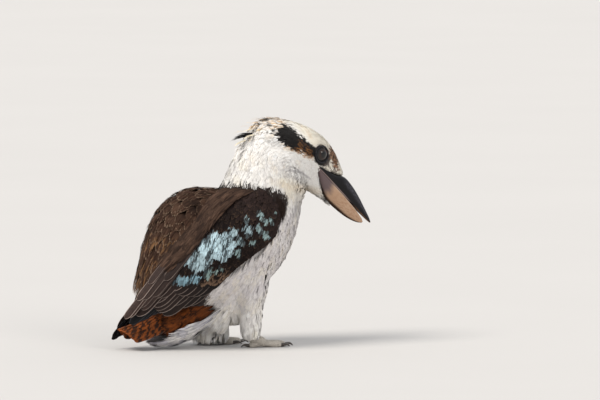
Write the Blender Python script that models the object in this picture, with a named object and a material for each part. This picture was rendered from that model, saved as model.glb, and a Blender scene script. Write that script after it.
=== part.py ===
"""A laughing kookaburra at life size, standing on the ground with its head bent down past its breast.

Sizes are in millimetres: +X is ahead of the bird, +Y its left side and +Z up, with the floor at Z = 0.
"""
import math

import bmesh
import bpy
import numpy as np
from mathutils import Matrix

MM = 0.001
GAP = 0.3
SHARP_ANGLE = math.radians(45)

# The head: where the middle of the eyes is, and how far the bill points below level
EYE_X = 93.0
EYE_Z = 201.0
HEAD_PITCH = math.radians(44)
EYE_RADIUS = 8.4
EYE_OUT = 17.6

# The feathered body from the tail root to the throat: x, z, half depth, half width
TRUNK = [
    (-60, 48, 12, 13),
    (-42, 62, 25, 27),
    (-16, 84, 41, 40),
    (9, 108, 50, 46),
    (25, 134, 49, 45),
    (36, 159, 44, 39),
    (43, 181, 42, 33.5),
    (50, 203, 38, 30),
]
# The head along the bill's direction: ahead of the eye, top, bottom, half width
HEAD = [
    (54, -21, -30.5, 4),
    (44, 4.3, -30, 7.8),
    (34, 9.8, -31, 10.8),
    (20, 15.6, -34, 14.2),
    (10, 18.2, -37, 19),
    (-2, 19.4, -39, 24),
    (-16, 17.5, -41, 28),
    (-34, 11.5, -42, 29.5),
    (-48, 3, -44, 27),
    (-58, -5, -45, 23.5),
    (-64, -14, -44, 16),
    (-67, -24, -38, 6),
]
# Feathered legs from the flank to the ankle, and the loose feathers of the belly that hang between them:
# x, y, z, half depth, half width
RIGHT_THIGH = [
    (18, -20, 84, 21, 18),
    (15, -22, 60, 17.5, 16.5),
    (16, -23, 43, 11.8, 12.5),
    (15, -23, 31, 11.2, 11.5),
    (15, -22.5, 19, 10, 10.5),
    (16.5, -22, 7, 8.6, 9),
]
LEFT_THIGH = [
    (-4, 18, 84, 26, 20),
    (-9, 21, 60, 27, 20),
    (-12, 21, 40, 24, 17),
    (-13, 21, 26, 19, 14.5),
    (-13, 20.5, 15, 14, 12),
    (-18, 20, 6, 11, 10),
]
BELLY = [(0, 0, 72, 32, 28), (-1, 0, 48, 27, 22), (0, 2, 32, 18, 15), (2, 3, 23, 12, 10)]
ANKLE_Z = 10.0
FLESH_VOXEL = 2.6
FLESH_TRIANGLES = 2200

# Where the body is parted: a point on each plane, and the plane's direction
NECK_TILT = (0.5, 0.0, 0.866)
HEAD_CUT = (46, 0, 175)
NECK_CUT = (36, 0, 145)
LEG_CUT_Z = {"right": 34.0, "left": 27.0}


def curve(points):
    """A smooth line through the points, read with a number from 0 to 1."""
    points = np.array(points, float)
    last = len(points) - 1

    def read(share):
        place = min(max(share, 0.0), 1.0) * last
        i = min(int(place), last - 1)
        t = place - i
        a, b = points[i], points[i + 1]
        before = points[i - 1] if i else 2 * a - b
        after = points[i + 2] if i + 2 <= last else 2 * b - a
        slope_a, slope_b = (b - before) / 2, (after - a) / 2
        return (
            (2 * t**3 - 3 * t**2 + 1) * a
            + (t**3 - 2 * t**2 + t) * slope_a
            + (3 * t**2 - 2 * t**3) * b
            + (t**3 - t**2) * slope_b
        )

    return read


def unit(v):
    v = np.array(v, float)
    return v / np.linalg.norm(v)


def mix(a, b, share):
    return a + (b - a) * share


def on_head(ahead, side, up):
    """A point of the head, from its distance ahead of the eyes, out to its left and above the eyes."""
    c, s = math.cos(HEAD_PITCH), math.sin(HEAD_PITCH)
    return np.array([EYE_X + ahead * c + up * s, side, EYE_Z - ahead * s + up * c])


def object_of(name, points, faces):
    mesh = bpy.data.meshes.new(name)
    mesh.from_pydata([tuple(p * MM) for p in np.asarray(points, float)], [], faces)
    thing = bpy.data.objects.new(name, mesh)
    bpy.context.scene.collection.objects.link(thing)
    return thing


def settle(thing):
    """Makes what the modifiers show the object's own mesh."""
    bpy.context.view_layer.update()
    graph = bpy.context.evaluated_depsgraph_get()
    mesh = bpy.data.meshes.new_from_object(thing.evaluated_get(graph))
    thing.modifiers.clear()
    thing.data = mesh
    return thing


def keep_largest(thing):
    """Keeps the largest closed surface of a mesh, and drops what a union sealed in or cut loose."""
    shape = bmesh.new()
    shape.from_mesh(thing.data)
    left = set(shape.faces)
    groups = []
    while left:
        found = {left.pop()}
        rim = list(found)
        while rim:
            near = {f for face in rim for e in face.edges if len(e.link_faces) == 2 for f in e.link_faces} - found
            found |= near
            rim = list(near)
        left -= found
        groups.append(found)
    groups.sort(key=len)
    for group in groups[:-1]:
        bmesh.ops.delete(shape, geom=list(group), context="FACES")
    bmesh.ops.triangulate(shape, faces=shape.faces)
    shape.to_mesh(thing.data)
    shape.free()
    return thing


def combine(thing, others, operation, solver="MANIFOLD"):
    """Joins the others to an object, or cuts them from it, and removes them."""
    group = bpy.data.collections.new(thing.name + "_tools")
    for other in others:
        group.objects.link(other)
    step = thing.modifiers.new(operation, "BOOLEAN")
    step.operation = operation
    step.operand_type = "COLLECTION"
    step.collection = group
    step.solver = solver
    settle(thing)
    for other in others:
        bpy.data.objects.remove(other)
    bpy.data.collections.remove(group)
    return keep_largest(thing)


def copy_of(thing, name, swell=0.0):
    """A copy of an object, with its surface moved out by swell."""
    other = bpy.data.objects.new(name, thing.data.copy())
    bpy.context.scene.collection.objects.link(other)
    normals = [v.normal.copy() for v in other.data.vertices]
    for v, normal in zip(other.data.vertices, normals):
        v.co += normal * swell * MM
    return other


def box(name, low, high):
    shape = bmesh.new()
    bmesh.ops.create_cube(shape, size=1.0)
    low, high = np.array(low, float) * MM, np.array(high, float) * MM
    bmesh.ops.scale(shape, vec=tuple(high - low), verts=shape.verts)
    bmesh.ops.translate(shape, vec=tuple((high + low) / 2), verts=shape.verts)
    mesh = bpy.data.meshes.new(name)
    shape.to_mesh(mesh)
    shape.free()
    thing = bpy.data.objects.new(name, mesh)
    bpy.context.scene.collection.objects.link(thing)
    return thing


def slice_off(thing, point, direction):
    """Cuts away what lies on the side of a plane that direction points to, and closes the cut."""
    shape = bmesh.new()
    shape.from_mesh(thing.data)
    found = bmesh.ops.bisect_plane(
        shape,
        geom=[*shape.verts, *shape.edges, *shape.faces],
        plane_co=tuple(np.array(point, float) * MM),
        plane_no=direction,
        clear_outer=True,
        dist=1e-7,
    )
    rim = [e for e in found["geom_cut"] if isinstance(e, bmesh.types.BMEdge) and e.is_boundary]
    bmesh.ops.contextual_create(shape, geom=rim)
    bmesh.ops.triangulate(shape, faces=shape.faces)
    bmesh.ops.recalc_face_normals(shape, faces=shape.faces)
    shape.to_mesh(thing.data)
    shape.free()
    return thing


def faced_out(thing):
    """Splits a mesh into triangles that all face outwards."""
    shape = bmesh.new()
    shape.from_mesh(thing.data)
    bmesh.ops.triangulate(shape, faces=shape.faces)
    bmesh.ops.recalc_face_normals(shape, faces=shape.faces)
    shape.to_mesh(thing.data)
    shape.free()
    return thing


def loft(name, rings):
    """A closed solid through rings of as many points each."""
    count = len(rings[0])
    faces = [tuple(range(count))[::-1]]
    for i in range(len(rings) - 1):
        for k in range(count):
            a, b = i * count + k, i * count + (k + 1) % count
            faces.append((a, b, b + count, a + count))
    faces.append(tuple((len(rings) - 1) * count + k for k in range(count)))
    return faced_out(object_of(name, np.concatenate(rings), faces))


def ring(centre, up, half_up, side, half_side, count=20):
    turns = [2 * math.pi * k / count for k in range(count)]
    up, side = np.array(up), np.array(side)
    return np.array([centre + up * half_up * math.cos(a) + side * half_side * math.sin(a) for a in turns])


def tube(name, line, radii, count=10, steps=12, flatten=1.0):
    """A round solid along a line, with its radius read from a curve. Flatten makes it lower than wide."""
    rings = []
    for i in range(steps + 1):
        share = i / steps
        ahead = unit(line(min(share + 0.02, 1)) - line(max(share - 0.02, 0)))
        side = unit(np.cross([0, 0.05, 1.0] if abs(ahead[2]) < 0.9 else [1.0, 0, 0], ahead))
        up = np.cross(ahead, side)
        radius = float(radii(share)[0])
        rings.append(ring(line(share), up, radius * flatten, side, radius, count))
    return loft(name, rings)


def finish(thing, colour, roughness, metallic=0.0):
    material = bpy.data.materials.new(thing.name)
    material.use_nodes = True
    shader = material.node_tree.nodes["Principled BSDF"]
    shader.inputs["Base Color"].default_value = (*colour, 1)
    shader.inputs["Roughness"].default_value = roughness
    shader.inputs["Metallic"].default_value = metallic
    thing.data.materials.clear()
    thing.data.materials.append(material)
    thing.data.shade_smooth()
    thing.data.set_sharp_from_angle(angle=SHARP_ANGLE)
    return thing


# The feathered body, made whole from its trunk, head and thighs
def trunk_form():
    line = curve(TRUNK)
    rings = []
    steps = 26
    for i in range(steps + 1):
        share = i / steps
        x, z, depth, width = line(share)
        ahead = unit(line(min(share + 0.02, 1))[:2] - line(max(share - 0.02, 0))[:2])
        rings.append(ring([x, 0, z], [-ahead[1], 0, ahead[0]], depth, [0, 1, 0], width))
    return loft("trunk", rings)


def head_form():
    line = curve(HEAD)
    up = on_head(0, 0, 1) - on_head(0, 0, 0)
    rings = []
    steps = 20
    for i in range(steps + 1):
        ahead, top, bottom, width = line(i / steps)
        rings.append(ring(on_head(ahead, 0, (top + bottom) / 2), up, (top - bottom) / 2, [0, 1, 0], width))
    return loft("head_form", rings)


def thigh_form(stations):
    line = curve(stations)
    rings = []
    steps = 10
    for i in range(steps + 1):
        x, y, z, depth, width = line(i / steps)
        rings.append(ring([x, y, z], [1, 0, 0], depth, [0, 1, 0], width, 16))
    return loft("thigh", rings)


def flesh_form():
    flesh = trunk_form()
    combine(flesh, [head_form(), *(thigh_form(form) for form in (RIGHT_THIGH, LEFT_THIGH, BELLY))], "UNION")
    remesh = flesh.modifiers.new("even", "REMESH")
    remesh.mode = "VOXEL"
    remesh.voxel_size = FLESH_VOXEL * MM
    smooth = flesh.modifiers.new("smooth", "SMOOTH")
    smooth.factor = 0.5
    smooth.iterations = 8
    settle(flesh)
    fewer = flesh.modifiers.new("fewer", "DECIMATE")
    fewer.ratio = FLESH_TRIANGLES / (2 * len(flesh.data.polygons))
    return keep_largest(settle(flesh))


# The bill: ahead of the eye, middle height, half height, half width, and how boxy it is in section
UPPER_BILL = [
    (8, -9.5, 0.8, 18.6, 0.5),
    (20, -7.4, 2.8, 16.2, 0.5),
    (32, -5.4, 4.9, 13.3, 0.6),
    (43, -2.7, 7.7, 11.0, 0.75),
    (56, -3.0, 7.3, 8.8, 1.0),
    (70, -4.6, 5.7, 6.5, 1.0),
    (84, -6.8, 3.4, 4.2, 1.0),
    (94, -8.5, 1.7, 2.2, 1.0),
    (98.5, -9.2, 0.5, 0.6, 1.0),
]
LOWER_BILL = [
    (8, -11.0, 0.7, 18.3, 0.5),
    (20, -14.3, 3.6, 15.9, 0.5),
    (32, -17.4, 6.1, 13.1, 0.6),
    (43, -19.2, 7.4, 10.9, 0.75),
    (56, -19.3, 7.1, 8.6, 1.0),
    (70, -18.9, 6.2, 6.4, 1.0),
    (80, -18.0, 4.8, 4.6, 1.0),
    (87, -16.9, 3.1, 3.0, 1.0),
    (91.5, -15.7, 0.8, 0.9, 1.0),
]
BILL_STEPS = 11
BILL_COUNT = 12
MOUTH_LINE = [(4, -10.2), (26, -10.8), (50, -11.2)]
MOUTH_WIDTH = 0.9
# Where the bill stands open: ahead of the eye, height and half height
MOUTH_GAP = [(30, -10.9, 0.5), (44, -11.1, 1.1), (62, -11.6, 1.6)]
NOSTRIL = (49.0, 9.7, 0.4)
NOSTRIL_SIZE = (3.2, 0.9, 1.2)


def bill_form(name, stations):
    """A horn half of the bill, boxy where it leaves the face and oval further on."""
    line = curve(stations)
    up = on_head(0, 0, 1) - on_head(0, 0, 0)
    rings = []
    for i in range(BILL_STEPS + 1):
        ahead, middle, half_up, half_side, power = line(i / BILL_STEPS)
        points = []
        for k in range(BILL_COUNT):
            turn = 2 * math.pi * k / BILL_COUNT
            c, s = math.cos(turn), math.sin(turn)
            high = math.copysign(abs(c) ** power, c) * half_up
            wide = math.copysign(abs(s) ** power, s) * half_side
            points.append(on_head(ahead, wide, middle) + up * high)
        rings.append(np.array(points))
    return loft(name, rings)


def mouth_cutter(side):
    """The thin slot that draws the line of the mouth back under the eye."""
    line = curve(MOUTH_LINE)
    up = on_head(0, 0, 1) - on_head(0, 0, 0)
    rings = []
    for i in range(7):
        ahead, height = line(i / 6)
        inner, outer = on_head(ahead, side * 6, height), on_head(ahead, side * 34, height)
        half = up * MOUTH_WIDTH / 2
        rings.append(np.array([inner - half, outer - half, outer + half, inner + half]))
    return loft("mouth", rings)


def mouth_opening():
    """The gap between the two halves of the bill, cut through what is left of the face between them."""
    up = on_head(0, 0, 1) - on_head(0, 0, 0)
    rings = []
    for ahead, height, half in MOUTH_GAP:
        left, right = on_head(ahead, 20, height), on_head(ahead, -20, height)
        rings.append(np.array([left - up * half, right - up * half, right + up * half, left + up * half]))
    return loft("mouth", rings)


def nostril_cutter(side):
    ahead, out, height = NOSTRIL
    line = curve([
        on_head(ahead - NOSTRIL_SIZE[0], side * out, height - 1),
        on_head(ahead, side * (out + 0.1), height),
        on_head(ahead + NOSTRIL_SIZE[0], side * (out - 0.5), height),
    ])
    return tube("nostril", line, curve([(0.2,), (NOSTRIL_SIZE[1],), (0.2,)]), 6, 4, 1.0)


def ball(name, centre, radius, rounds=12):
    shape = bmesh.new()
    bmesh.ops.create_uvsphere(shape, u_segments=rounds, v_segments=rounds // 2 + 2, radius=radius * MM)
    bmesh.ops.rotate(shape, verts=shape.verts, cent=(0, 0, 0), matrix=Matrix.Rotation(math.pi / 2, 3, "X"))
    bmesh.ops.translate(shape, vec=tuple(np.array(centre) * MM), verts=shape.verts)
    bmesh.ops.triangulate(shape, faces=shape.faces)
    mesh = bpy.data.meshes.new(name)
    shape.to_mesh(mesh)
    shape.free()
    thing = bpy.data.objects.new(name, mesh)
    bpy.context.scene.collection.objects.link(thing)
    return thing


# The way an eye looks, as ahead, out to its side and up, and its lids: a ring round what shows of the ball
EYE_AXIS = (0.30, 1.0, 0.24)
LID_RADIUS = 7.7
LID_LIFT = 4.3
LID_THICK = 1.3
LID_STEPS = 12
LID_COUNT = 5


def lid_form(side):
    up = on_head(0, 0, 1) - on_head(0, 0, 0)
    ahead = on_head(1, 0, 0) - on_head(0, 0, 0)
    axis = unit(ahead * EYE_AXIS[0] + np.array([0, side * EYE_AXIS[1], 0]) + up * EYE_AXIS[2])
    over = unit(up - axis * axis.dot(up))
    along = np.cross(axis, over)
    middle = on_head(0, side * EYE_OUT, 0) + axis * LID_LIFT
    rings = []
    for i in range(LID_STEPS):
        turn = 2 * math.pi * i / LID_STEPS
        out = along * math.cos(turn) + over * math.sin(turn)
        rings.append(ring(middle + out * LID_RADIUS, out, LID_THICK, axis, LID_THICK * 1.3, LID_COUNT))
    total = LID_STEPS * LID_COUNT
    faces = []
    for i in range(LID_STEPS):
        for k in range(LID_COUNT):
            a, b = i * LID_COUNT + k, i * LID_COUNT + (k + 1) % LID_COUNT
            faces.append((a, b, (b + LID_COUNT) % total, (a + LID_COUNT) % total))
    return faced_out(object_of("lid", np.concatenate(rings), faces))


# The feet: toe name, turn outwards in degrees, length, thickness at its root
TOES = [("inner", -24, 17, 3.7), ("middle", 0, 26, 4.1), ("outer", 15, 21, 3.8), ("back", 184, 14, 3.6)]
TOE_END_SHARE = 0.72
ANKLE_RADIUS = 6.2
SHANK_DROP = [(0, 12), (6, 8.6), (12, 5.4)]
CLAW_LENGTH = 8.5
CLAW_RADIUS = 1.8
SOLE_SHARE = 0.88


def toe_line(start, turn, length, thick, side):
    heading = math.radians(turn) * side
    ahead = np.array([math.cos(heading), math.sin(heading), 0])
    low = thick * TOE_END_SHARE * SOLE_SHARE
    middle = start + ahead * length * 0.5 + [0, 0, thick * SOLE_SHARE - start[2]]
    return curve([start, middle, start + ahead * length + [0, 0, low - start[2]]]), ahead


def foot_form(side_name, side, ankle_x, ankle_y):
    """The scaled shank and the four toes, flat under the toes, with a claw for each toe."""
    shank = curve([(ankle_x + x, ankle_y, z) for x, z in SHANK_DROP])
    foot = tube("foot_" + side_name, shank, curve([(ANKLE_RADIUS,), (5.2,), (4.6,)]), 10, 4)
    start = np.array([ankle_x + SHANK_DROP[-1][0] - 1, ankle_y, SHANK_DROP[-1][1] - 0.8])
    toes = []
    for toe_name, turn, length, thick in TOES:
        line, ahead = toe_line(start, turn, length, thick, side)
        radii = curve([(thick,), (thick * 0.86,), (thick * 0.92,), (thick * TOE_END_SHARE,)])
        toes.append(tube("toe", line, radii, 8, 5))
        tip = line(1.0) + ahead * GAP * 2
        bend = tip + ahead * CLAW_LENGTH * 0.55 + [0, 0, 0.5]
        point = tip + ahead * CLAW_LENGTH + [0, 0, -tip[2] + 0.5]
        claw_line = curve([tip, bend, point])
        claw = tube(f"claw_{side_name}_{toe_name}", claw_line, curve([(CLAW_RADIUS,), (1.2,), (0.3,)]), 6, 4)
        finish(claw, (0.09, 0.07, 0.06), 0.35)
    combine(foot, toes, "UNION")
    floor = box("floor", (-200, -100, -20), (200, 100, 0))
    combine(foot, [floor], "DIFFERENCE")
    slice_off(foot, (0, 0, ANKLE_Z - GAP), (0, 0, 1))
    return finish(foot, (0.62, 0.6, 0.55), 0.6)


# How far a share of 1 beyond either end of a sheet's line reaches
SHEET_RUN_OUT = 200


class Sheet:
    """A curved sheet that feathers are laid on: along runs from 0 to 1 down its line, across from -1 to 1
    over its width, and height stands off it. It is rounded across, as a part of a barrel is."""

    def __init__(self, line, half_widths, rounding, outward):
        self.line = curve(line)
        self.half = curve([(w,) for w in half_widths])
        self.rounding = rounding
        self.outward = unit(outward)

    def frame(self, along):
        along = min(max(along, 0), 1)
        ahead = unit(self.line(min(along + 0.02, 1)) - self.line(max(along - 0.02, 0)))
        out = unit(self.outward - ahead * self.outward.dot(ahead))
        return ahead, np.cross(ahead, out), out

    def point(self, along, across, height):
        ahead, side, out = self.frame(along)
        turn = across * float(self.half(along)[0]) / self.rounding
        reach = self.rounding + height
        past = ahead * (max(along - 1, 0) + min(along, 0)) * SHEET_RUN_OUT
        return self.line(along) + past + side * reach * math.sin(turn) + out * (reach * math.cos(turn) - self.rounding)

    def out(self, along, across):
        ahead, side, out = self.frame(along)
        turn = across * float(self.half(along)[0]) / self.rounding
        return side * math.sin(turn) + out * math.cos(turn)


# A feather's outline: share of its length and of its width
VANE_OUTLINE = [(0.0, 0.5), (0.45, 0.95), (0.72, 1.0), (0.91, 0.76), (1.0, 0.3)]
COVERT_OUTLINE = [(0.0, 0.6), (0.6, 1.0), (0.87, 0.82), (1.0, 0.32)]
VANE_THICK = 0.7
VANE_ROLL = 0.8


def vane(sheet, root, tip, width, root_height, tip_height, roll=VANE_ROLL, outline=VANE_OUTLINE):
    """One feather: a thin plate from its root to its rounded tip, split into triangles alike on both faces."""

    def middle(share):
        height = mix(root_height, tip_height, share**0.8)
        return sheet.point(mix(root[0], tip[0], share), mix(root[1], tip[1], share), height)

    points = []
    for share, spread in outline:
        ahead = unit(middle(min(share + 0.04, 1)) - middle(max(share - 0.04, 0)))
        out = sheet.out(mix(root[0], tip[0], share), mix(root[1], tip[1], share))
        side = unit(np.cross(ahead, out))
        half, lean = side * width * spread / 2, out * roll * spread * min(share * 3, 1)
        face = unit(np.cross(side, ahead)) * VANE_THICK / 2
        face = face if face.dot(out) > 0 else -face
        here = middle(share)
        points += [here - half + lean + face, here + half - lean + face]
        points += [here + half - lean - face, here - half + lean - face]
    faces = [(0, 1, 2), (0, 2, 3)]
    for i in range(len(outline) - 1):
        a = 4 * i
        faces += [(a, a + 5, a + 1), (a, a + 4, a + 5)]
        faces += [(a + 3, a + 2, a + 6), (a + 3, a + 6, a + 7)]
        faces += [(a + 1, a + 5, a + 6), (a + 1, a + 6, a + 2)]
        faces += [(a, a + 3, a + 7), (a, a + 7, a + 4)]
    last = 4 * (len(outline) - 1)
    faces += [(last, last + 2, last + 1), (last, last + 3, last + 2)]
    return faced_out(object_of("vane", points, faces))


def tier(sheet, count, roots, tips, widths, heights, outline=COVERT_OUTLINE, roll=VANE_ROLL):
    """A row of overlapping feathers. Each pair holds the first and the last feather's value."""
    made = []
    for i in range(count):
        share = i / max(count - 1, 1)
        root = mix(np.array(roots[0], float), np.array(roots[1], float), share)
        tip = mix(np.array(tips[0], float), np.array(tips[1], float), share)
        width, height = mix(widths[0], widths[1], share), mix(heights[0], heights[1], share)
        made.append(vane(sheet, root, tip, width, -1.6, height, roll, outline))
    return made


def sheet_core(name, sheet, first, last, depth, reach=1.0, top=0.0, steps=7, taper=0.6):
    """The flesh under a sheet's feathers: a lens shape that is thin at its edges, and narrows at both ends."""
    rings = []
    for i in range(steps + 1):
        share = i / steps
        along = mix(first, last, share)
        ends = math.sin(math.pi * mix(0.12, 0.88, share)) ** taper
        points = []
        for across in np.linspace(-1, 1, 9):
            edge = 1 - across * across
            points.append(sheet.point(along, across * reach * ends, top - depth * 0.35 * (1 - edge)))
        for across in np.linspace(1, -1, 7)[1:-1]:
            edge = 1 - across * across
            points.append(sheet.point(along, across * reach * ends, top - depth * (0.35 + 0.65 * edge)))
        rings.append(np.array(points))
    return loft(name, rings)


# The folded wings. Both are laid out as a right wing, and the left one is turned over.
RIGHT_WING = [(37, -41, 156), (12, -48, 139), (-20, -50, 114), (-47, -45, 85), (-77, -31, 53), (-112, -17, 23)]
LEFT_WING = [(36, -41, 156), (10, -48.5, 138), (-24, -51, 110), (-55, -46, 77), (-90, -30, 42), (-125, -13, 14)]
WING_HALF_WIDTHS = [22, 28, 29, 25, 19, 10]
WING_ROUNDING = 46
WING_OUTWARD = (-0.12, -1, 0.16)
WING_CORE_START = 0.0
WING_CORE_END = 0.62
WING_CORE_DEPTH = 17
WING_CORE_TAPER = 0.35
# The space kept clear for a wing on its sheet
ROOM_ALONG = (-0.12, 1.0)
ROOM_ACROSS = (-1.0, 1.5)
ROOM_HEIGHT = (-26, 10.5)
ROOM_STEPS = 8
# Each row: outline, count, roots, tips, widths, heights. The first feather is the one nearest the back.
WING_TIERS = {
    "primaries": (VANE_OUTLINE, 5, ((0.50, 0.2), (0.46, -0.60)), ((1.0, 0.35), (0.84, -0.70)), (11, 11), (-0.8, -5.6)),
    "secondaries": (VANE_OUTLINE, 7, ((0.38, 0.70), (0.32, -0.66)), ((0.90, 0.75), (0.64, -0.92)), (18, 18), (2.4, 0.0)),
    "greater_coverts": (COVERT_OUTLINE, 6, ((0.24, 0.70), (0.20, -0.70)), ((0.54, 0.66), (0.47, -0.96)), (18, 17), (4.0, 1.6)),
    "median_coverts": (COVERT_OUTLINE, 5, ((0.10, 0.66), (0.08, -0.66)), ((0.38, 0.66), (0.33, -0.98)), (18, 18), (5.4, 3.2)),
    "lesser_coverts": (COVERT_OUTLINE, 5, ((0.0, 0.7), (0.02, -0.66)), ((0.22, 0.7), (0.18, -0.92)), (18, 16), (6.8, 4.6)),
    "scapulars": (COVERT_OUTLINE, 3, ((0.02, 0.72), (0.06, 1.14)), ((0.36, 0.78), (0.44, 1.16)), (22, 20), (8.4, 7.6)),
    "long_scapulars": (COVERT_OUTLINE, 3, ((0.26, 0.72), (0.30, 1.12)), ((0.62, 0.80), (0.72, 1.14)), (21, 18), (6.8, 6.0)),
}
# The long feathers next to the back. The left wing hangs lower, so its own end sooner.
TERTIAL_TIPS = {"right": ((1.0, 1.42), (0.94, 0.95)), "left": ((0.86, 1.1), (0.84, 0.8))}


def turned_over(thing):
    """Mirrors an object's mesh to the bird's other side."""
    shape = bmesh.new()
    shape.from_mesh(thing.data)
    bmesh.ops.scale(shape, vec=(1, -1, 1), verts=shape.verts)
    bmesh.ops.reverse_faces(shape, faces=shape.faces)
    shape.to_mesh(thing.data)
    shape.free()
    return thing


def room_form(sheet):
    """The space kept clear for a wing where it meets the feathers of the back."""
    rings = []
    for i in range(ROOM_STEPS + 1):
        along = mix(ROOM_ALONG[0], ROOM_ALONG[1], i / ROOM_STEPS)
        spread = np.linspace(ROOM_ACROSS[0], ROOM_ACROSS[1], ROOM_STEPS)
        over = [sheet.point(along, across, ROOM_HEIGHT[1]) for across in spread]
        under = [sheet.point(along, across, ROOM_HEIGHT[0]) for across in spread[::-1]]
        rings.append(np.array(over + under))
    return loft("room", rings)


def wing_form(side_name, line, flesh):
    sheet = Sheet(line, WING_HALF_WIDTHS, WING_ROUNDING, WING_OUTWARD)
    wing = sheet_core("wing_" + side_name, sheet, WING_CORE_START, WING_CORE_END, WING_CORE_DEPTH, taper=WING_CORE_TAPER)
    feathers = []
    for outline, count, roots, tips, widths, heights in WING_TIERS.values():
        feathers += tier(sheet, count, roots, tips, widths, heights, outline)
    tertial_roots = ((0.44, 1.1), (0.40, 0.8))
    feathers += tier(sheet, 3, tertial_roots, TERTIAL_TIPS[side_name], (13, 14), (4.4, 3.6), VANE_OUTLINE)
    combine(wing, feathers, "UNION")
    room = room_form(sheet)
    if side_name == "left":
        turned_over(wing)
        turned_over(room)
    combine(wing, [copy_of(flesh, "hollow", GAP)], "DIFFERENCE")
    return finish(wing, (0.07, 0.05, 0.04), 0.7), room


# The puffed feathers of the back, between the wings
CAPE = [(-2, 3, 160), (-38, 4, 163), (-64, 5, 152), (-80, 6, 132), (-90, 7, 106), (-97, 8, 76)]
CAPE_HALF_WIDTHS = [28, 40, 43, 41, 34, 20]
CAPE_ROUNDING = 34
CAPE_DEPTH = 30
CAPE_TIERS = {
    "collar": (4, ((0.00, -0.7), (0.00, 0.7)), ((0.26, -0.76), (0.26, 0.76)), (25, 25), (3.4, 3.4)),
    "upper": (4, ((0.12, -0.75), (0.12, 0.75)), ((0.46, -0.8), (0.46, 0.8)), (28, 28), (3.0, 3.0)),
    "middle": (5, ((0.30, -0.8), (0.30, 0.8)), ((0.64, -0.85), (0.64, 0.85)), (24, 24), (2.6, 2.6)),
    "lower": (5, ((0.48, -0.8), (0.48, 0.8)), ((0.82, -0.85), (0.82, 0.85)), (22, 22), (2.2, 2.2)),
    "last": (4, ((0.64, -0.75), (0.64, 0.75)), ((1.00, -0.75), (1.00, 0.75)), (16, 16), (1.0, 1.0)),
}


def cape_form(flesh, rooms):
    sheet = Sheet(CAPE, CAPE_HALF_WIDTHS, CAPE_ROUNDING, (-0.6, 0, 0.8))
    cape = sheet_core("mantle", sheet, 0.0, 0.88, CAPE_DEPTH)
    feathers = []
    for count, roots, tips, widths, heights in CAPE_TIERS.values():
        feathers += tier(sheet, count, roots, tips, widths, heights)
    combine(cape, feathers, "UNION")
    combine(cape, [copy_of(flesh, "hollow", GAP), *rooms], "DIFFERENCE")
    return finish(cape, (0.1, 0.065, 0.045), 0.75)


# The tail: its feathers' line, and the coverts over and under its root
TAIL = [(-44, 0, 53), (-74, 0, 37), (-104, 0, 21), (-132, 0, 8.5)]
TAIL_HALF_WIDTHS = [12, 16, 19, 20]
TAIL_ROUNDING = 22
TAIL_PAIRS = 5
TAIL_FEATHER_WIDTH = 16
TAIL_STEP = 0.3
RECTRIX_OUTLINE = [(0.0, 0.5), (0.5, 0.86), (0.94, 1.0), (1.0, 0.62)]
UNDERTAIL = [(-44, 0, 36), (-62, 0, 22), (-80, 0, 13), (-96, 0, 10)]


def tail_form(flesh):
    sheet = Sheet(TAIL, TAIL_HALF_WIDTHS, TAIL_ROUNDING, (0, 0, 1))
    under = Sheet(UNDERTAIL, [12, 14, 13, 10], 20, (0, 0, -1))
    tail = sheet_core("tail", sheet, 0.0, 0.45, 14, 1.0, 1.0)
    feathers = []
    for pair in range(TAIL_PAIRS):
        share = pair / (TAIL_PAIRS - 1)
        for side in (-1, 1):
            across = side * mix(0.16, 0.98, share)
            root, tip = (0.12, across * 0.8), (mix(1.0, 0.9, share), across)
            height = mix(1.8, -4.4, share) + side * TAIL_STEP
            feathers.append(vane(sheet, root, tip, TAIL_FEATHER_WIDTH, -3.0, height, 0.0, RECTRIX_OUTLINE))
    feathers += tier(sheet, 3, ((0.02, -0.6), (0.02, 0.6)), ((0.42, -0.6), (0.42, 0.6)), (19, 19), (4.6, 4.6))
    feathers += tier(under, 3, ((0.0, -0.6), (0.0, 0.6)), ((0.66, -0.6), (0.66, 0.6)), (17, 17), (2.4, 2.4))
    feathers += tier(under, 2, ((0.2, -0.4), (0.2, 0.4)), ((1.0, -0.4), (1.0, 0.4)), (14, 14), (0.4, 0.4))
    combine(tail, [sheet_core("under", under, 0.0, 0.5, 14), *feathers], "UNION")
    floor = box("floor", (-200, -100, -20), (200, 100, 0))
    combine(tail, [copy_of(flesh, "hollow", GAP), floor], "DIFFERENCE")
    return finish(tail, (0.3, 0.13, 0.05), 0.7)


def stand_at_origin():
    """Moves the whole bird so that the origin is on the floor, under the middle of its length and width."""
    things = list(bpy.data.objects)
    points = np.array([v.co for thing in things for v in thing.data.vertices])
    low, high = points.min(axis=0), points.max(axis=0)
    shift = [-(low[0] + high[0]) / 2, -(low[1] + high[1]) / 2, -low[2]]
    for thing in things:
        for v in thing.data.vertices:
            v.co = [place + step for place, step in zip(v.co, shift)]


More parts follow.
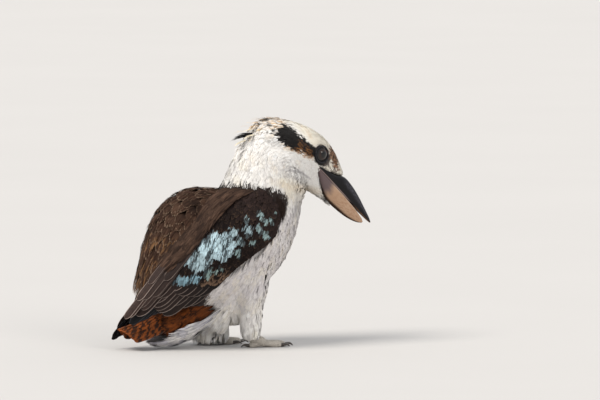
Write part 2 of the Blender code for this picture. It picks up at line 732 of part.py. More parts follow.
def build():
    for thing in list(bpy.data.objects):
        bpy.data.objects.remove(thing)
    flesh = flesh_form()
    # the wings, cape and tail are hollowed to lie on the flesh
    wing_right, room_right = wing_form("right", RIGHT_WING, flesh)
    wing_left, room_left = wing_form("left", LEFT_WING, flesh)
    cape_form(flesh, [room_right, room_left])
    tail_form(flesh)
    white = (0.8, 0.77, 0.7)
    block_ends = {"right": (3, 60, 9), "left": (-50, 6, 7)}
    for side_name, side, thigh in (("right", -1, RIGHT_THIGH), ("left", 1, LEFT_THIGH)):
        low_x, high_x, inner = block_ends[side_name]
        cut = LEG_CUT_Z[side_name]
        leg = copy_of(flesh, "leg_" + side_name)
        ends = sorted((side * inner, side * 60))
        block = box("block", (low_x, ends[0], -20), (high_x, ends[1], cut))
        combine(leg, [block], "INTERSECT")
        slice_off(leg, (0, 0, ANKLE_Z), (0, 0, -1))
        finish(leg, white, 0.85)
        block = box("block", (low_x - GAP, ends[0] - GAP, -20), (high_x + GAP, ends[1] + GAP, cut + GAP))
        combine(flesh, [block], "DIFFERENCE")
        ankle_x, ankle_y = thigh[-1][:2]
        foot_form(side_name, side, ankle_x, ankle_y)
    head = copy_of(flesh, "head")
    neck = copy_of(flesh, "neck")
    tilt = np.array(NECK_TILT)
    slice_off(head, np.array(HEAD_CUT) + tilt * GAP, tuple(-tilt))
    slice_off(neck, HEAD_CUT, tuple(tilt))
    slice_off(neck, np.array(NECK_CUT) + tilt * GAP, tuple(-tilt))
    torso = flesh
    torso.name = "torso"
    slice_off(torso, NECK_CUT, tuple(tilt))
    for piece in (head, neck, torso):
        keep_largest(piece)
    finish(torso, white, 0.85)
    finish(neck, white, 0.85)
    upper = bill_form("bill_upper", UPPER_BILL)
    lower = bill_form("bill_lower", LOWER_BILL)
    combine(upper, [nostril_cutter(-1), nostril_cutter(1)], "DIFFERENCE")
    hollow = [copy_of(upper, "hollow", GAP), copy_of(lower, "hollow", GAP)]
    hollow += [mouth_cutter(-1), mouth_cutter(1), mouth_opening()]
    eyes = []
    for side_name, side in (("right", -1), ("left", 1)):
        place = on_head(0, side * EYE_OUT, 0)
        eyes.append(ball("eye_" + side_name, place, EYE_RADIUS))
        combine(head, [lid_form(side)], "UNION")
        hollow.append(ball("socket", place, EYE_RADIUS + GAP))
    combine(head, hollow, "DIFFERENCE")
    finish(head, white, 0.85)
    for eye in eyes:
        finish(eye, (0.02, 0.012, 0.01), 0.08)
    finish(upper, (0.03, 0.03, 0.035), 0.35)
    finish(lower, (0.55, 0.36, 0.22), 0.4)
    stand_at_origin()


build()
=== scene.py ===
import math

import bmesh
import bpy
import numpy as np
from mathutils import Matrix, Vector, kdtree
from mathutils.bvhtree import BVHTree


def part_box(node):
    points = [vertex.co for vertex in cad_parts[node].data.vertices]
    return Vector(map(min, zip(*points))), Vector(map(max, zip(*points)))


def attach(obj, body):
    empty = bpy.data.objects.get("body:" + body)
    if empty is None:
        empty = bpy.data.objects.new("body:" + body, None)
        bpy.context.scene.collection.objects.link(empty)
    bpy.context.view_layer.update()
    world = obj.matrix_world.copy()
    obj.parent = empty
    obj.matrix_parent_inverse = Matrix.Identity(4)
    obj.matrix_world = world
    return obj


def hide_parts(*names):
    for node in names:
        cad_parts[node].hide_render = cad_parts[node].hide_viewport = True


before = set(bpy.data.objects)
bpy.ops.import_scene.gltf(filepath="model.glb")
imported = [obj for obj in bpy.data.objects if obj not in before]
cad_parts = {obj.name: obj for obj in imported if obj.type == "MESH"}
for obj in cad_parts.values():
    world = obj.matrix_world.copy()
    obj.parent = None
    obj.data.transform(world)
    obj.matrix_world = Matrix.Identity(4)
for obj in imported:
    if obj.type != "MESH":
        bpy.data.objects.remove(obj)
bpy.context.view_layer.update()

# Where the bird stands in the frame. Sizes here are in millimetres from a point on the floor under the
# bird, as in the part's own source, and the right eye shows how far the frame has moved them.
MM = 0.001
EYE_MIDDLE = np.array([93.0, 0.0, 201.0])
EYE_OUT = 17.6
HEAD_PITCH = math.radians(44)
AHEAD = np.array([math.cos(HEAD_PITCH), 0, -math.sin(HEAD_PITCH)])
LEFT = np.array([0.0, 1.0, 0.0])
UP = np.array([math.sin(HEAD_PITCH), 0, math.cos(HEAD_PITCH)])
eye_low, eye_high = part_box("eye_right")
SHIFT = (np.array(eye_low) + np.array(eye_high)) / 2 / MM - (EYE_MIDDLE - LEFT * EYE_OUT)


def on_head(ahead, side, up):
    """A point of the head, from its distance ahead of the eyes, out to its left and above the eyes."""
    return EYE_MIDDLE + AHEAD * ahead + LEFT * side + UP * up


def unit(v):
    v = np.asarray(v, float)
    return v / np.maximum(np.linalg.norm(v, axis=-1, keepdims=True), 1e-9)


def mix(a, b, share):
    return a + (b - a) * share


def soft_step(low, high, x):
    """0 below low, 1 above high, and smooth between them."""
    t = np.clip((np.asarray(x, float) - low) / (high - low), 0, 1)
    return t * t * (3 - 2 * t)


def linked(name, data):
    """A new object of the scene."""
    made = bpy.data.objects.new(name, data)
    bpy.context.scene.collection.objects.link(made)
    return made


def mesh_from(shape, name):
    """A mesh from a shape that is no longer needed."""
    mesh = bpy.data.meshes.new(name)
    shape.to_mesh(mesh)
    shape.free()
    return mesh


# The camera stands 6 m off the bird's right side, a little behind it and a little above its level, with a
# long lens that takes in 630 mm at the bird.
CAMERA_TURN = math.radians(-20)
CAMERA_LIFT = math.radians(5)
CAMERA_AWAY = 6000.0
VIEW_WIDTH = 630.0
VIEW_CENTRE = (73.5, 153.3)
SENSOR_WIDTH = 36.0

view_back = np.array([
    math.sin(CAMERA_TURN) * math.cos(CAMERA_LIFT),
    -math.cos(CAMERA_TURN) * math.cos(CAMERA_LIFT),
    math.sin(CAMERA_LIFT),
])
view_right = np.array([math.cos(CAMERA_TURN), math.sin(CAMERA_TURN), 0])
view_up = np.cross(view_back, view_right)
view_target = view_right * VIEW_CENTRE[0] + view_up * VIEW_CENTRE[1] + SHIFT
camera_data = bpy.data.cameras.new("camera")
camera_data.sensor_width = SENSOR_WIDTH
camera_data.lens = SENSOR_WIDTH * CAMERA_AWAY / VIEW_WIDTH
camera_data.clip_end = 100
camera = linked("camera", camera_data)
camera.matrix_world = Matrix.Translation(Vector((view_target + view_back * CAMERA_AWAY) * MM)) @ Matrix(
    np.array([view_right, view_up, view_back]).T.tolist()
).to_4x4()
bpy.context.scene.camera = camera


# Shader sums are written as Python sums on readings, and a finish holds one material's nodes.
class Reading:
    """A number that varies over a surface, on which sums may be written."""

    def __init__(self, finish, socket):
        self.finish = finish
        self.socket = socket

    def sum(self, operation, first, second):
        return self.finish.node("Math", {"operation": operation}, [first, second])

    def __add__(self, other):
        return self.sum("ADD", self, other)

    def __radd__(self, other):
        return self.sum("ADD", other, self)

    def __sub__(self, other):
        return self.sum("SUBTRACT", self, other)

    def __rsub__(self, other):
        return self.sum("SUBTRACT", other, self)

    def __mul__(self, other):
        return self.sum("MULTIPLY", self, other)

    def __rmul__(self, other):
        return self.sum("MULTIPLY", other, self)


class Finish:
    """One material. Its first settings are the values that are the same all over."""

    def __init__(self, name, **even):
        self.material = bpy.data.materials.new(name)
        self.material.use_nodes = True
        self.tree = self.material.node_tree
        self.shader = self.tree.nodes["Principled BSDF"]
        for key, value in even.items():
            self.shader.inputs[key.replace("_", " ")].default_value = value

    def node(self, kind, settings, inputs, output=0):
        made = self.tree.nodes.new("ShaderNode" + kind)
        for key, value in settings.items():
            setattr(made, key, value)
        for key, value in inputs.items() if isinstance(inputs, dict) else enumerate(inputs):
            if isinstance(value, Reading):
                self.tree.links.new(value.socket, made.inputs[key])
            else:
                made.inputs[key].default_value = value
        return Reading(self, made.outputs[output])

    def feed(self, name, reading):
        self.tree.links.new(reading.socket, self.shader.inputs[name])

    def place(self):
        """Where a point of the piece is, in metres."""
        return self.node("TexCoord", {}, {}, "Object")

    def attribute(self, name, output="Fac"):
        return self.node("Attribute", {"attribute_name": name}, {}, output)

    def flat_place(self, name):
        """The two numbers of a flat map."""
        first = self.node("SeparateXYZ", {}, {0: self.node("UVMap", {"uv_map": name}, {})})
        return first, Reading(self, first.socket.node.outputs[1])

    def sine(self, value, period):
        return self.node("Math", {"operation": "SINE"}, [value * (2 * math.pi / period)])

    def noise(self, where, scale, detail=2.0, rough=0.5):
        inputs = {"Vector": where, "Scale": scale, "Detail": detail, "Roughness": rough}
        return self.node("TexNoise", {}, inputs)

    def ramp(self, value, low, high):
        """0 where the value is low and 1 where it is high, smooth between them."""
        settings = {"interpolation_type": "SMOOTHSTEP"}
        return self.node("MapRange", settings, {"Value": value, "From Min": low, "From Max": high})

    def blend(self, share, first, second, way="MIX"):
        """A mix of two colours."""
        settings = {"data_type": "RGBA", "blend_type": way}
        colours = [c if isinstance(c, Reading) else (*c, 1) for c in (first, second)]
        return self.node("Mix", settings, {0: share, 6: colours[0], 7: colours[1]}, 2)

    def bump(self, height, strength, distance):
        made = self.node("Bump", {}, {"Height": height, "Strength": strength, "Distance": distance * MM})
        self.feed("Normal", made)


# The floor is a plain pale sheet, under soft studio light from a wide panel high on the left, a weaker one
# on the right and an even pale sky.
FLOOR_COLOUR = (0.60, 0.585, 0.57)
FLOOR_SIDE = 60.0
floor_shape = bmesh.new()
bmesh.ops.create_grid(floor_shape, x_segments=1, y_segments=1, size=FLOOR_SIDE / 2)
floor = linked("floor", mesh_from(floor_shape, "floor"))
floor_finish = Finish("pale_floor", Roughness=0.95, Specular_IOR_Level=0.1)
floor_grain = floor_finish.noise(floor_finish.place(), 3.0, 3.0)
floor_tint = floor_finish.blend(floor_grain, FLOOR_COLOUR, tuple(c * 1.04 for c in FLOOR_COLOUR))
floor_finish.feed("Base Color", floor_tint)
floor.data.materials.append(floor_finish.material)

# Each lamp: name, the way to it from the bird as right, up and towards the camera, how wide it looks in
# degrees, and its strength
LAMP_COLOUR = (1.0, 0.955, 0.89)
SKY_COLOUR = (0.95, 0.97, 1.0, 1)
SKY_STRENGTH = 0.72
LAMPS = [
    ("key_light", (-0.62, 1.0, 0.38), 26, 2.35),
    ("fill_light", (0.9, 0.7, 0.9), 24, 0.5),
]
for name, (right, up, towards), spread, strength in LAMPS:
    lamp_data = bpy.data.lights.new(name, "SUN")
    lamp_data.angle = math.radians(spread)
    lamp_data.energy = strength
    lamp_data.color = LAMP_COLOUR
    lamp = linked(name, lamp_data)
    lamp_way = view_right * right + np.array([0, 0, 1]) * up + view_back * towards
    lamp.rotation_euler = Vector(-lamp_way).to_track_quat("-Z", "Y").to_euler()
world = bpy.data.worlds.new("even_sky")
world.use_nodes = True
sky = world.node_tree.nodes["Background"].inputs
sky["Color"].default_value = SKY_COLOUR
sky["Strength"].default_value = SKY_STRENGTH
bpy.context.scene.world = world
bpy.context.scene.view_settings.view_transform = "Standard"


# The skin is the bird's body under its feathers, one closed surface from the bill to the ankles. It lies
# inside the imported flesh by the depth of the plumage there.
FLESH = ("head", "neck", "torso", "leg_left", "leg_right")
SKIN_SWELL = 0.35
SKIN_VOXEL = 1.7
BILL_ROOTS = {"bill_upper": 25.0, "bill_lower": 13.0}
HEAD_START = np.array([46.0, 0, 175.0])
NECK_DIRECTION = np.array([0.5, 0, 0.866])


def piece_of(name, points, triangles, finish, slot):
    """A piece of the model from arrays: points in millimetres and the points of each triangle."""
    mesh = bpy.data.meshes.new(name)
    mesh.vertices.add(len(points))
    mesh.vertices.foreach_set("co", ((points + SHIFT) * MM).astype(np.float32).ravel())
    mesh.loops.add(3 * len(triangles))
    mesh.loops.foreach_set("vertex_index", triangles.astype(np.int32).ravel())
    mesh.polygons.add(len(triangles))
    mesh.polygons.foreach_set("loop_start", np.arange(0, 3 * len(triangles), 3, dtype=np.int32))
    mesh.update()
    return set_up(linked(name, mesh), finish, slot)


def set_up(piece, finish, slot):
    """Gives a piece smooth faces, its finish and its body. Its slot is not used."""
    piece.data.shade_smooth()
    piece.data.materials.clear()
    piece.data.materials.append(finish.material)
    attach(piece, "root")
    return piece


def give(piece, name, kind, values):
    """Stores a value for each point of a piece, under a name that its finish reads."""
    made = piece.data.attributes.new(name, kind, "POINT")
    field = "color" if kind == "FLOAT_COLOR" else "value"
    made.data.foreach_set(field, np.ascontiguousarray(values, np.float32).ravel())


def give_map(piece, name, flat):
    """Stores a flat map from a pair of numbers for each point."""
    corners = np.zeros(len(piece.data.loops), np.int32)
    piece.data.loops.foreach_get("vertex_index", corners)
    made = piece.data.uv_layers.new(name=name)
    made.data.foreach_set("uv", np.ascontiguousarray(flat[corners], np.float32).ravel())


def node_shape(name, swell):
    """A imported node's mesh, merged and swelled by so many millimetres."""
    shape = bmesh.new()
    shape.from_mesh(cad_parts[name].data)
    bmesh.ops.remove_doubles(shape, verts=shape.verts, dist=1e-6)
    shape.normal_update()
    for v in shape.verts:
        v.co += v.normal * swell * MM
    return shape


def tree_of(names):
    """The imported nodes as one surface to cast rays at, in millimetres."""
    points, triangles = [], []
    for name in names:
        shape = node_shape(name, 0)
        bmesh.ops.triangulate(shape, faces=shape.faces)
        start = len(points)
        points += [Vector(v.co) / MM - Vector(SHIFT) for v in shape.verts]
        triangles += [tuple(start + v.index for v in f.verts) for f in shape.faces]
        shape.free()
    return BVHTree.FromPolygons(points, triangles)


def fuse(piece, voxel, easing, times):
    """Makes the parts of a piece one even surface, and eases it."""
    even = piece.modifiers.new("even", "REMESH")
    even.mode = "VOXEL"
    even.voxel_size = voxel * MM
    smooth = piece.modifiers.new("smooth", "SMOOTH")
    smooth.factor = easing
    smooth.iterations = times
    bpy.context.view_layer.update()
    seen = piece.evaluated_get(bpy.context.evaluated_depsgraph_get())
    piece.data = bpy.data.meshes.new_from_object(seen)
    piece.modifiers.clear()


joined = bmesh.new()
for name in (*FLESH, "eye_left", "eye_right", "bill_upper", "bill_lower"):
    shape = node_shape(name, SKIN_SWELL if name in FLESH else 0)
    if name in BILL_ROOTS:
        root_end = Vector((on_head(BILL_ROOTS[name], 0, 0) + SHIFT) * MM)
        everything = [*shape.verts, *shape.edges, *shape.faces]
        bmesh.ops.bisect_plane(
            shape, geom=everything, plane_co=root_end, plane_no=Vector(AHEAD), clear_outer=True, dist=1e-7
        )
        bmesh.ops.holes_fill(shape, edges=[e for e in shape.edges if e.is_boundary])
    one_part = mesh_from(shape, name + "_copy")
    joined.from_mesh(one_part)
    bpy.data.meshes.remove(one_part)
skin = linked("skin", mesh_from(joined, "skin"))
fuse(skin, SKIN_VOXEL, 0.5, 4)


def headness(points):
    """1 on the head, 0 on the body, and between them on the throat and nape."""
    return soft_step(-10, 15, (points - HEAD_START) @ NECK_DIRECTION)


def head_places(points):
    """How far points are ahead of the eyes, out from the middle, and above the eyes."""
    away = points - EYE_MIDDLE
    return away @ AHEAD, np.abs(away[:, 1]), away @ UP


def eye_distance(points):
    """How far points are from the middle of the nearer eye."""
    mirrored = points * [1, 0, 1] + np.abs(points) * [0, 1, 0]
    return np.linalg.norm(mirrored - (EYE_MIDDLE + LEFT * EYE_OUT), axis=1)


def coat_depth(points):
    """How deep the plumage is over the skin."""
    ahead, side, up = head_places(points)
    on_face = np.interp(-ahead, [-50, -20, 0, 40, 70], [0.8, 1.1, 1.7, 2.4, 2.8])
    near_eye = np.interp(eye_distance(points), [10, 16, 24], [0.9, 1.3, 3.0])
    on_body = np.interp(points[:, 2], [10, 20, 45, 70, 150, 180], [1.6, 2.6, 3.6, 4.4, 4.2, 3.2])
    return mix(on_body, np.minimum(on_face, near_eye), headness(points))


def mesh_arrays(mesh):
    points = np.zeros(3 * len(mesh.vertices), np.float32)
    mesh.vertices.foreach_get("co", points)
    normals = np.zeros(3 * len(mesh.vertices), np.float32)
    mesh.vertices.foreach_get("normal", normals)
    mesh.calc_loop_triangles()
    corners = np.zeros(3 * len(mesh.loop_triangles), np.int32)
    mesh.loop_triangles.foreach_get("vertices", corners)
    return points.reshape(-1, 3) / MM - SHIFT, normals.reshape(-1, 3).astype(float), corners.reshape(-1, 3)


points, normals, triangles = mesh_arrays(skin.data)
points = points - normals * coat_depth(points)[:, None]
skin.data.vertices.foreach_set("co", ((points + SHIFT) * MM).astype(np.float32).ravel())
skin.data.update()
skin_points, skin_normals, skin_triangles = mesh_arrays(skin.data)
skin_tree = BVHTree.FromPolygons(skin_points.tolist(), skin_triangles.tolist())

# The skin's flat map, on which each feather's patch sits at its root's place
bpy.context.view_layer.objects.active = skin
skin.select_set(True)
bpy.ops.object.mode_set(mode="EDIT")
bpy.ops.mesh.select_all(action="SELECT")
bpy.ops.uv.smart_project(angle_limit=math.radians(66), island_margin=0.002)
bpy.ops.object.mode_set(mode="OBJECT")
skin.data.uv_layers[0].name = "OFBake"
skin_flat = np.zeros(2 * len(skin.data.loops), np.float32)
skin.data.uv_layers["OFBake"].data.foreach_get("uv", skin_flat)
skin_flat = skin_flat.reshape(-1, 2)
skin_corners = np.zeros(3 * len(skin.data.loop_triangles), np.int32)
skin.data.loop_triangles.foreach_get("loops", skin_corners)
skin_corners = skin_corners.reshape(-1, 3)


# The markings of the plumage, which the skin and the feathers share: a cream head with a black ear patch
# that runs to the eye, a rusty patch before the eye, a white body and a dark cape below the nape.
def shade(red, green, blue):
    """A colour as a picture gives it, from 0 to 255, made light for the shader."""
    values = np.array([red, green, blue]) / 255
    return np.where(values <= 0.04045, values / 12.92, ((values + 0.055) / 1.055) ** 2.4)


WHITE = shade(244, 241, 237)
CREAM = shade(246, 234, 208)
WARM = shade(232, 208, 168)
PALE_GREY = shade(218, 212, 213)
GREY = shade(140, 136, 140)
BUFF = shade(206, 166, 108)
RUST = shade(140, 84, 34)
BLACK = shade(17, 13, 12)
CAPE_BROWN = shade(38, 27, 22)
# Outlines on the head: how far ahead of the eyes and above them
EAR_PATCH = [
    (-57.5, -16.5), (-52.5, -9.0), (-48, -3.6), (-42, -2.5), (-37, -3.6), (-28, -1.8), (-20, -0.6),
    (-12.5, 0.6), (-6, 1), (-4.3, -8.4), (-11.6, -11.7), (-19.3, -13.2), (-25.6, -17.5), (-36.8, -22),
    (-47.7, -23.2), (-54, -21.8),
]
EYE_STRIPE = [(-11, 0), (-7.7, 6.6), (-1, 9), (7, 9), (15, 6.5), (15.5, -3), (8, -9), (-1, -9.5), (-9, -6)]
FOREHEAD_PATCH = [(6, 9), (8, 17.5), (13, 18), (20, 15), (27, 9), (30, 5), (25, 3), (17, 5.5), (11.5, 7.5)]


def inside(across, up, outline):
    """How far points are inside an outline, in millimetres, below 0 outside it."""
    outline = np.array(outline, float)
    nearest = np.full(len(across), 1e9)
    crossings = np.zeros(len(across), int)
    for (x0, y0), (x1, y1) in zip(outline, np.roll(outline, -1, axis=0)):
        length = (x1 - x0) ** 2 + (y1 - y0) ** 2
        share = np.clip(((across - x0) * (x1 - x0) + (up - y0) * (y1 - y0)) / length, 0, 1)
        nearest = np.minimum(nearest, np.hypot(across - x0 - share * (x1 - x0), up - y0 - share * (y1 - y0)))
        straddles = (y0 > up) != (y1 > up)
        rise = np.where(straddles, (up - y0) / np.where(y1 == y0, 1, y1 - y0), 0)
        crossings += straddles & (across < x0 + rise * (x1 - x0))
    return np.where(crossings % 2 == 1, nearest, -nearest)


def ripple(points, size, seed):
    """A smooth uneven field from about -1 to 1, whose bumps are about size across."""
    draw = np.random.default_rng(seed)
    total = np.zeros(len(points))
    for _ in range(6):
        way = unit(draw.normal(size=3))
        total += np.sin(points @ way * (2 * math.pi / size) * draw.uniform(0.7, 1.5) + draw.uniform(0, 6.3))
    return total / 2.6


def hood_line(x):
    """How high the pale hood ends and the dark cape begins."""
    return np.interp(x, [-20, 0, 15, 33, 46, 52], [169, 169.5, 168, 164.5, 161, 158])


def cape_share(points):
    """1 where the dark feathers of the cape grow, behind and below the nape, and 0 elsewhere."""
    x, y, z = points.T
    line = hood_line(x) + ripple(points, 9, 5) * 1.2
    back = np.interp(z, [60, 85, 108, 118, 126, 134, 141, 157, 166], [-34, -26, -14, 8, 33, 42, 46, 50, 54])
    return soft_step(1.5, -1.5, z - line) * soft_step(2, -2, x - back - np.maximum(0, np.abs(y) - 25) * 0.2)


def ruffle_share(ahead, up):
    """1 on the ruffled feathers under the cheek, 0 elsewhere."""
    return soft_step(-24, -31, up) * soft_step(-52, -40, up) * soft_step(-34, -22, ahead)


def plumage(points, jitter=0.0):
    """The colour of the feathers that grow at each point."""
    ahead, side, up = head_places(points)
    on_the_head = headness(points)
    uneven = ripple(points, 7, 1) * 1.2 + jitter
    x, y, z = points.T
    colour = np.tile(WHITE, (len(points), 1))

    def lay(shade_of_it, share):
        nonlocal colour
        share = np.clip(share, 0, 1)[:, None]
        colour = mix(colour, shade_of_it, share)

    body = 1 - on_the_head
    lay(PALE_GREY, body * soft_step(165, 120, z) * soft_step(20, 60, z) * (0.7 + 0.2 * ripple(points, 12, 2)))
    lay(CREAM, body * soft_step(0.0, 0.9, ripple(points * [1, 1, 0.35], 9, 8)) * 0.3)
    lay(GREY, body * soft_step(0.15, 0.9, ripple(points * [1, 1, 0.3], 6, 9) + jitter * 0.3) * 0.26)
    throat = np.abs(x - 68) / 14
    lay(GREY, body * soft_step(1.0, 0.3, throat) * soft_step(125, 140, z) * soft_step(185, 160, z) * 0.3)
    lay(CREAM, body * soft_step(140, 175, z) * soft_step(30, 60, x + ripple(points, 18, 3) * 8) * 0.6)
    lay(WARM, soft_step(8, 0, np.abs(z - 172 - (x - 40) * -0.2)) * soft_step(20, 50, x) * 0.3)
    lay(CREAM, on_the_head * 0.5 * soft_step(0, 12, up + ahead * 0.2 + 12))
    nape = soft_step(-44, -58, ahead + uneven) * soft_step(-26, -12, up)
    lay(BUFF, on_the_head * nape * soft_step(-0.6, 0.5, ripple(points, 6, 10)) * 0.75)
    lay(WARM, on_the_head * soft_step(0.2, 0.9, ripple(points, 14, 4)) * soft_step(0, -30, ahead) * 0.35)
    ruffled = ruffle_share(ahead, up) * soft_step(6, -8, ahead)
    lay(GREY, on_the_head * ruffled * soft_step(-0.3, 0.7, ripple(points, 5, 11) + jitter * 0.4) * 0.5)
    # Painted shade: a grey line along the crease in the cheek feathers
    crease = np.abs(up - np.interp(ahead, [-22, -17, -6, 15], [-48, -38, -29.6, -24]))
    crease_painted_shade = soft_step(2.2, 0.4, crease) * soft_step(-26, -20, ahead) * soft_step(15, 8, ahead)
    lay(GREY, on_the_head * crease_painted_shade * 0.55)
    lay(CAPE_BROWN, cape_share(points))
    ear = inside(ahead, up, EAR_PATCH) + uneven * 0.9
    rusty_rim = soft_step(-2.6, -0.8, ear) * soft_step(-40, -32, ahead) * soft_step(-3, -8, up)
    lay(mix(RUST, BUFF, 0.4), on_the_head * rusty_rim * 0.8)
    lay(BLACK, on_the_head * soft_step(-0.7, 0.7, ear))
    streaks = soft_step(0.2, 0.65, np.sin(up * 2.6 + ahead * 1.1 + uneven * 1.6))
    streaks = streaks * soft_step(-31, -24, ahead) * soft_step(-3.0, -5.0, up) * soft_step(-4, -7, ahead)
    lay(mix(RUST, BUFF, 0.12), on_the_head * streaks * soft_step(-0.5, 1.0, ear) * 0.85)
    stripe = inside(ahead, up, EYE_STRIPE) + uneven * 0.5
    lay(BLACK, on_the_head * soft_step(-0.8, 0.8, stripe) * soft_step(12, 15, side))
    front = inside(ahead, up, FOREHEAD_PATCH) + uneven * 1.2
    lay(RUST, on_the_head * soft_step(-1.6, 0.6, front) * 0.9)
    mottled = soft_step(-0.3, 0.4, ripple(points, 4, 6) + jitter * 0.5)
    lay(BLACK, on_the_head * soft_step(-0.4, 1.2, front) * mottled)
    lores = on_the_head * soft_step(9, 14, ahead) * soft_step(5, 2, up) * soft_step(-12, -8, up)
    lay(GREY * [0.7, 0.6, 0.5], lores * soft_step(-0.2, 0.5, ripple(points, 3.0, 7) + jitter * 0.6) * 0.8)
    return colour


def with_alpha(colour):
    return np.concatenate([colour, np.ones((len(colour), 1))], axis=1)


skin_finish = Finish("skin_under_feathers", Roughness=0.85)
skin_tint = skin_finish.attribute("plumage", "Color")
skin_grain = skin_finish.noise(skin_finish.place(), 900, 3.0)
skin_finish.feed("Base Color", skin_finish.blend(skin_grain * 0.4, skin_tint, (0.7, 0.68, 0.66), "MULTIPLY"))
skin_finish.bump(skin_grain, 0.4, 0.5)
set_up(skin, skin_finish, "pale_feathers")
give(skin, "plumage", "FLOAT_COLOR", with_alpha(plumage(skin_points) * 0.9))
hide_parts(*FLESH)


# The body feathers are small and soft. Each is a tuft of barbs that springs from the skin, follows the lie
# of the coat and rests on the feathers behind it.
BODY_AXIS = np.array([
    on_head(60, 0, -12), on_head(30, 0, -12), on_head(0, 0, -10), on_head(-30, 0, -12), on_head(-52, 0, -22),
    (38, 0, 200), (37, 0, 178), (33, 0, 158), (25, 0, 134), (8, 0, 108), (-16, 0, 84), (-42, 0, 62),
    (-70, 0, 42),
])
AXIS_REACH = 17.0
WING_PARTS = ("wing_left", "wing_right", "mantle", "tail")
COVER_REACH = 11.0
FEATHER_SEED = 20

cover_tree = tree_of(WING_PARTS)
bill_tree = tree_of(("bill_upper", "bill_lower"))


def lie_of(points, normals):
    """The way that feathers point, along the skin: back from the bill, down the neck and to the tail."""
    starts, ends = BODY_AXIS[:-1], BODY_AXIS[1:]
    way = np.zeros_like(points)
    for start, end in zip(starts, ends):
        for share in (0.25, 0.75):
            away = np.linalg.norm(points - mix(start, end, share), axis=1)
            weight = np.exp(-(away**2) / (2 * AXIS_REACH**2))
            way += unit(end - start) * (weight + 1e-6)[:, None]
    way = unit(way)
    x, y, z = points.T
    low = soft_step(150, 100, z)[:, None]
    way = mix(way, np.array([-0.35, 0, -0.94]), low * 0.6)
    legs = soft_step(62, 42, z)[:, None] * soft_step(-36, -28, x)[:, None]
    way = mix(way, np.array([-0.12, 0, -1.0]), legs)
    behind = soft_step(-26, -40, x)[:, None] * soft_step(80, 60, z)[:, None]
    way = mix(way, np.array([-0.8, 0, -0.6]), behind)
    return unit(way - normals * np.sum(way * normals, axis=1)[:, None])


def feather_length(points):
    ahead, side, up = head_places(points)
    on_face = np.interp(-ahead, [-50, -30, -10, 5, 25, 45, 62], [2.6, 3.4, 5.5, 8, 10, 12, 13.5])
    near_eye = np.interp(eye_distance(points), [10, 15, 24], [2.6, 4.5, 20])
    on_body = np.interp(points[:, 2], [12, 24, 45, 70, 110, 150, 180], [9, 12, 14, 15, 14, 13, 12])
    length = mix(on_body, np.minimum(on_face, near_eye), headness(points))
    return mix(length, np.minimum(length, 12), cape_share(points))


def nearest_on_skin(points):
    """The nearest points of the skin, and the way out of the skin there."""
    found = [skin_tree.find_nearest(Vector(p)) for p in points]
    places = np.array([f[0] for f in found])
    index = np.array([f[2] for f in found])
    corners = skin_triangles[index]
    near = 1 / (np.linalg.norm(skin_points[corners] - places[:, None], axis=2) + 0.3)
    out = unit(np.sum(skin_normals[corners] * near[:, :, None], axis=1))
    return places, out


def scatter(spacing_share, seed):
    """Roots spread evenly over the skin, as far apart as their feathers' lengths ask."""
    draw = np.random.default_rng(seed)
    corners = skin_points[skin_triangles]
    area = np.linalg.norm(np.cross(corners[:, 1] - corners[:, 0], corners[:, 2] - corners[:, 0]), axis=1) / 2
    spacing = feather_length(corners.mean(axis=1)) * spacing_share
    wanted = area / spacing**2
    count = int(wanted.sum() * 2.4)
    index = draw.choice(len(area), count, p=wanted / wanted.sum())
    one, two = np.sqrt(draw.random(count)), draw.random(count)
    weights = np.stack([1 - one, one * (1 - two), one * two], axis=1)
    places = np.sum(corners[index] * weights[:, :, None], axis=1)
    tree = kdtree.KDTree(count)
    for i, place in enumerate(places):
        tree.insert(place, i)
    tree.balance()
    reach = spacing[index] * 0.72
    open_ones = np.ones(count, bool)
    kept = []
    for i in range(count):
        if open_ones[i]:
            kept.append(i)
            for _, near, _ in tree.find_range(places[i], reach[i]):
                open_ones[near] = False
    kept = np.array(kept)
    index, weights, places = index[kept], weights[kept], places[kept]
    out = unit(np.sum(skin_normals[skin_triangles[index]] * weights[:, :, None], axis=1))
    flat = np.sum(skin_flat[skin_corners[index]] * weights[:, :, None], axis=1)
    return places, out, flat


def open_to_air(places, out):
    """Which roots no bill, eye, wing or tail covers."""
    fine = (eye_distance(places) > 9.7) & (places[:, 2] > 11.5)
    for i in np.flatnonzero(fine):
        place, way = Vector(places[i]), Vector(out[i])
        near, facing, _, _ = bill_tree.find_nearest(place, 12.0)
        if near is not None and (place - near).dot(facing) < 0.25:
            fine[i] = False
            continue
        hit = cover_tree.ray_cast(place + way * 0.2, way, COVER_REACH)
        if hit[0] is not None:
            fine[i] = False
    return fine


FLOOR_CLEAR = 0.4
SOFT_BARB = np.array([0.0, 0.38, 0.74, 1.0])
VANE_BARB = np.array([0.0, 0.34, 0.64, 0.86, 0.94, 1.0])


